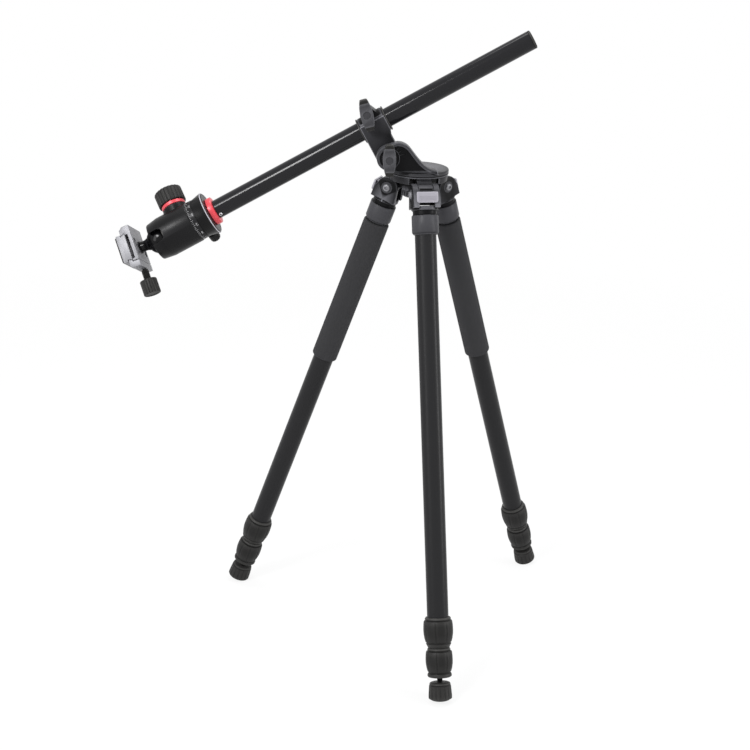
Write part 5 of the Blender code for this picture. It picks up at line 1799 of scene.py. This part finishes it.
class TRIPOD_OT_clamp(bpy.types.Operator):
    """Clamp body and its sliding jaw"""

    bl_idname = "tripod.clamp"
    bl_label = "Clamp"

    def execute(self, context):
        size = context.scene.tripod_clamp
        place = clamp_frame()
        floor = size.underside + size.floor
        top = size.underside + size.thickness
        split = size.jaw_side - size.jaw
        half = size.half_length
        body_end = split - 0.0006
        outline = [
            (body_end, size.underside), (body_end, floor), (-size.dovetail - size.flare, floor),
            (-size.dovetail, top), (-size.fixed_side + 0.004, top), (-size.fixed_side, top - 0.005),
            (-size.fixed_side, size.underside),
        ]
        body = moved(rounded(extruded(outline, -half, half), size.rounding, 3), FLAT)
        wide = size.channel_half
        groove = box(
            (-wide, -half - BEYOND, floor - size.channel_depth), (wide, half + BEYOND, floor + 0.001)
        )
        below, above = size.underside - BEYOND, top + BEYOND
        wide, deep = size.window_half, size.window_width / 2
        windows = []
        for middle in (-size.window_shift, size.window_shift):
            window = box((-wide, middle - deep, below), (wide, middle + deep, above))
            windows.append(rounded(window, 0.0020, 4))
        # A pocket in the fixed side's face holds a dark rubber block, so that this face renders dark.
        face = -size.fixed_side
        reach, depth, room = 0.0165, 0.0035, 0.0002
        low, high = size.underside + 0.0014, top - 0.0056
        pocket = box((face - BEYOND, -reach, low), (face + depth, reach, high))
        bm = carved(carved(carved(body, pocket), *windows), groove)
        dark_fill = box((face, room - reach, low + room), (face + depth - room, reach - room, high - room))
        dark_block = rounded(dark_fill, 0.0006, 3)
        finish_piece("clamp_dark_block", dark_block, place, home("clamp_body"), finish("moulded_rubber"), "rubber")
        dress("clamp_body", bm, place, "titanium", "titanium")
        outline = [
            (split, size.underside), (size.jaw_side, size.underside), (size.jaw_side, top - 0.003),
            (size.jaw_side - 0.003, top), (size.dovetail, top),
            (size.dovetail + size.flare, floor + GAP), (split, floor + GAP),
        ]
        jaw = moved(rounded(extruded(outline, -half, half), size.rounding, 3), FLAT)
        dress("clamp_jaw", jaw, place, "titanium", "titanium")
        return {"FINISHED"}


class TRIPOD_OT_clamp_knob(bpy.types.Operator):
    """Ribbed knob and screw of the clamp's jaw"""

    bl_idname = "tripod.clamp_knob"
    bl_label = "Clamp knob"

    def execute(self, context):
        size = context.scene.tripod_clamp
        node = "clamp_knob"
        place = outwards_frame(node, "jaw_knob_turn")
        low, high, radius = extent(node, place)
        start = high.z - 0.020
        knob = turned_knob(radius, 0.0008, size.knob_ribs, start, high.z, 0.0010, 0.0006)
        core = girth_at(node, place, low.z)
        shaft = 0.005
        seat = start - 0.016 + 0.0018
        profile = [(0, start + 0.001), (shaft, start + 0.001)]
        profile += threaded_profile(shaft, seat, start - 0.001, size.screw_pitch, 0.0005)
        profile += [(core, seat), (core, low.z), (0, low.z)]
        bm = carved(knob, revolved(profile, 48), operation="UNION")
        dress(node, bm, place, "moulded_rubber", "rubber")
        return {"FINISHED"}


class TRIPOD_OT_plate(bpy.types.Operator):
    """Quick-release plate with its pad and camera screw"""

    bl_idname = "tripod.plate"
    bl_label = "Quick-release plate"

    def execute(self, context):
        size = context.scene.tripod_clamp
        place = clamp_frame()
        low, high = span("quick_release_plate", place)
        base = size.underside + size.floor + GAP
        shoulder = size.underside + size.thickness + GAP
        wide = size.dovetail + size.flare - 0.0006
        slope = size.flare / (size.thickness - size.floor)
        narrow = wide - slope * (shoulder - base)
        side = [(wide, base), (narrow, shoulder), (high.x, shoulder + 0.0004), (high.x, high.z)]
        outline = side + [(-x, z) for x, z in reversed(side)]
        plate = moved(rounded(extruded(outline, low.y, high.y), size.rounding * 0.6, 2), FLAT)
        screw = girth("camera_screw", place, high.z) + GAP
        head = girth("camera_screw", place) + GAP
        recess = base + 0.0031
        bore = revolved([(0, 0.1), (screw, 0.1), (screw, recess), (head, recess), (head, 0), (0, 0)], 64)
        dress("quick_release_plate", carved(plate, bore), place, "titanium", "titanium")
        low, high = span("plate_pad", place)
        corner = 0.0020
        right, left = high.x - corner, low.x + corner
        back, front = high.y - corner, low.y + corner
        outline = []
        for i, centre in enumerate(((right, back), (left, back), (left, front), (right, front))):
            outline += arc(centre, corner, 90 * i, 90 * i + 90, 6)
        pad = pillowed(outline, low.z, high.z, 0.0003)
        grooves = []
        for y in pad_rows(low.y, high.y):
            start = (low.x - BEYOND, y - 0.0004, high.z - 0.0005)
            grooves.append(box(start, (high.x + BEYOND, y + 0.0004, high.z + BEYOND)))
        hole = revolved([(0, 0.1), (screw, 0.1), (screw, 0), (0, 0)], 64)
        dress("plate_pad", carved(pad, *grooves, hole), place, "moulded_rubber", "rubber")
        add_camera_screw(place)
        return {"FINISHED"}


def pad_rows(low, high, count=8):
    """Places of the pad's cross grooves."""
    return [low + (high - low) * (i + 1) / (count + 1) for i in range(count)]


def add_camera_screw(place):
    """Threaded screw with a slotted head under the plate."""
    node = "camera_screw"
    low, high = span(node, place)
    radius = girth(node, place, low.z + 0.004)
    head = girth(node, place)
    thickness = 0.0022
    profile = [(0, high.z), (radius - 0.0006, high.z)]
    profile += threaded_profile(radius, low.z + thickness, high.z - 0.0006, 0.00127, 0.0004)
    edge = 0.0003
    profile += [(head - edge, low.z + thickness), (head, low.z + thickness - edge), (head, low.z + edge)]
    profile += [(head - edge, low.z), (0, low.z)]
    slot = box((-head, -0.0006, low.z - BEYOND), (head, 0.0006, low.z + 0.0010))
    bm = carved(revolved(profile, 48), slot)
    dress(node, bm, place, "polished_steel", "steel")


# Add-on
SETTINGS = (
    ("tripod_finishes", TripodFinishes),
    ("tripod_stage", TripodStage),
    ("tripod_legs", TripodLegs),
    ("tripod_hub", TripodHub),
    ("tripod_turntable", TripodTurntable),
    ("tripod_knobs", TripodKnobs),
    ("tripod_head", TripodHead),
    ("tripod_clamp", TripodClamp),
)
OPERATORS = (
    TRIPOD_OT_leg_tubes,
    TRIPOD_OT_twist_locks,
    TRIPOD_OT_foam_grips,
    TRIPOD_OT_feet,
    TRIPOD_OT_hub,
    TRIPOD_OT_leg_bolts,
    TRIPOD_OT_leg_brackets,
    TRIPOD_OT_angle_latches,
    TRIPOD_OT_turntable,
    TRIPOD_OT_lock_ring,
    TRIPOD_OT_wing_knobs,
    TRIPOD_OT_collar,
    TRIPOD_OT_column,
    TRIPOD_OT_head_base,
    TRIPOD_OT_pan_knob,
    TRIPOD_OT_head_housing,
    TRIPOD_OT_main_knob,
    TRIPOD_OT_ball,
    TRIPOD_OT_clamp,
    TRIPOD_OT_clamp_knob,
    TRIPOD_OT_plate,
    TRIPOD_OT_stage,
)


class TRIPOD_PT_panel(bpy.types.Panel):
    """Sizes and colours of the tripod, and a button for every piece"""

    bl_idname = "TRIPOD_PT_panel"
    bl_label = "Tripod"
    bl_space_type = "VIEW_3D"
    bl_region_type = "UI"
    bl_category = "Tripod"

    def draw(self, context):
        layout = self.layout
        for name, settings in SETTINGS:
            group = layout.box()
            group.label(text=settings.__doc__)
            for key in settings.__annotations__:
                group.prop(getattr(context.scene, name), key)
        for operator in OPERATORS:
            layout.operator(operator.bl_idname)


def register():
    for name, settings in SETTINGS:
        bpy.utils.register_class(settings)
        setattr(bpy.types.Scene, name, PointerProperty(type=settings))
    for operator in OPERATORS:
        bpy.utils.register_class(operator)
    bpy.utils.register_class(TRIPOD_PT_panel)


def unregister():
    bpy.utils.unregister_class(TRIPOD_PT_panel)
    for operator in reversed(OPERATORS):
        bpy.utils.unregister_class(operator)
    for name, settings in reversed(SETTINGS):
        delattr(bpy.types.Scene, name)
        bpy.utils.unregister_class(settings)


def main():
    register()
    bpy.ops.tripod.leg_tubes()
    bpy.ops.tripod.twist_locks()
    bpy.ops.tripod.foam_grips()
    bpy.ops.tripod.feet()
    bpy.ops.tripod.hub()
    bpy.ops.tripod.leg_bolts()
    bpy.ops.tripod.leg_brackets()
    bpy.ops.tripod.angle_latches()
    bpy.ops.tripod.turntable()
    bpy.ops.tripod.lock_ring()
    bpy.ops.tripod.wing_knobs()
    bpy.ops.tripod.collar()
    bpy.ops.tripod.column()
    bpy.ops.tripod.head_base()
    bpy.ops.tripod.pan_knob()
    bpy.ops.tripod.head_housing()
    bpy.ops.tripod.main_knob()
    bpy.ops.tripod.ball()
    bpy.ops.tripod.clamp()
    bpy.ops.tripod.clamp_knob()
    bpy.ops.tripod.plate()
    bpy.ops.tripod.stage()


if __name__ == "__main__":
    main()
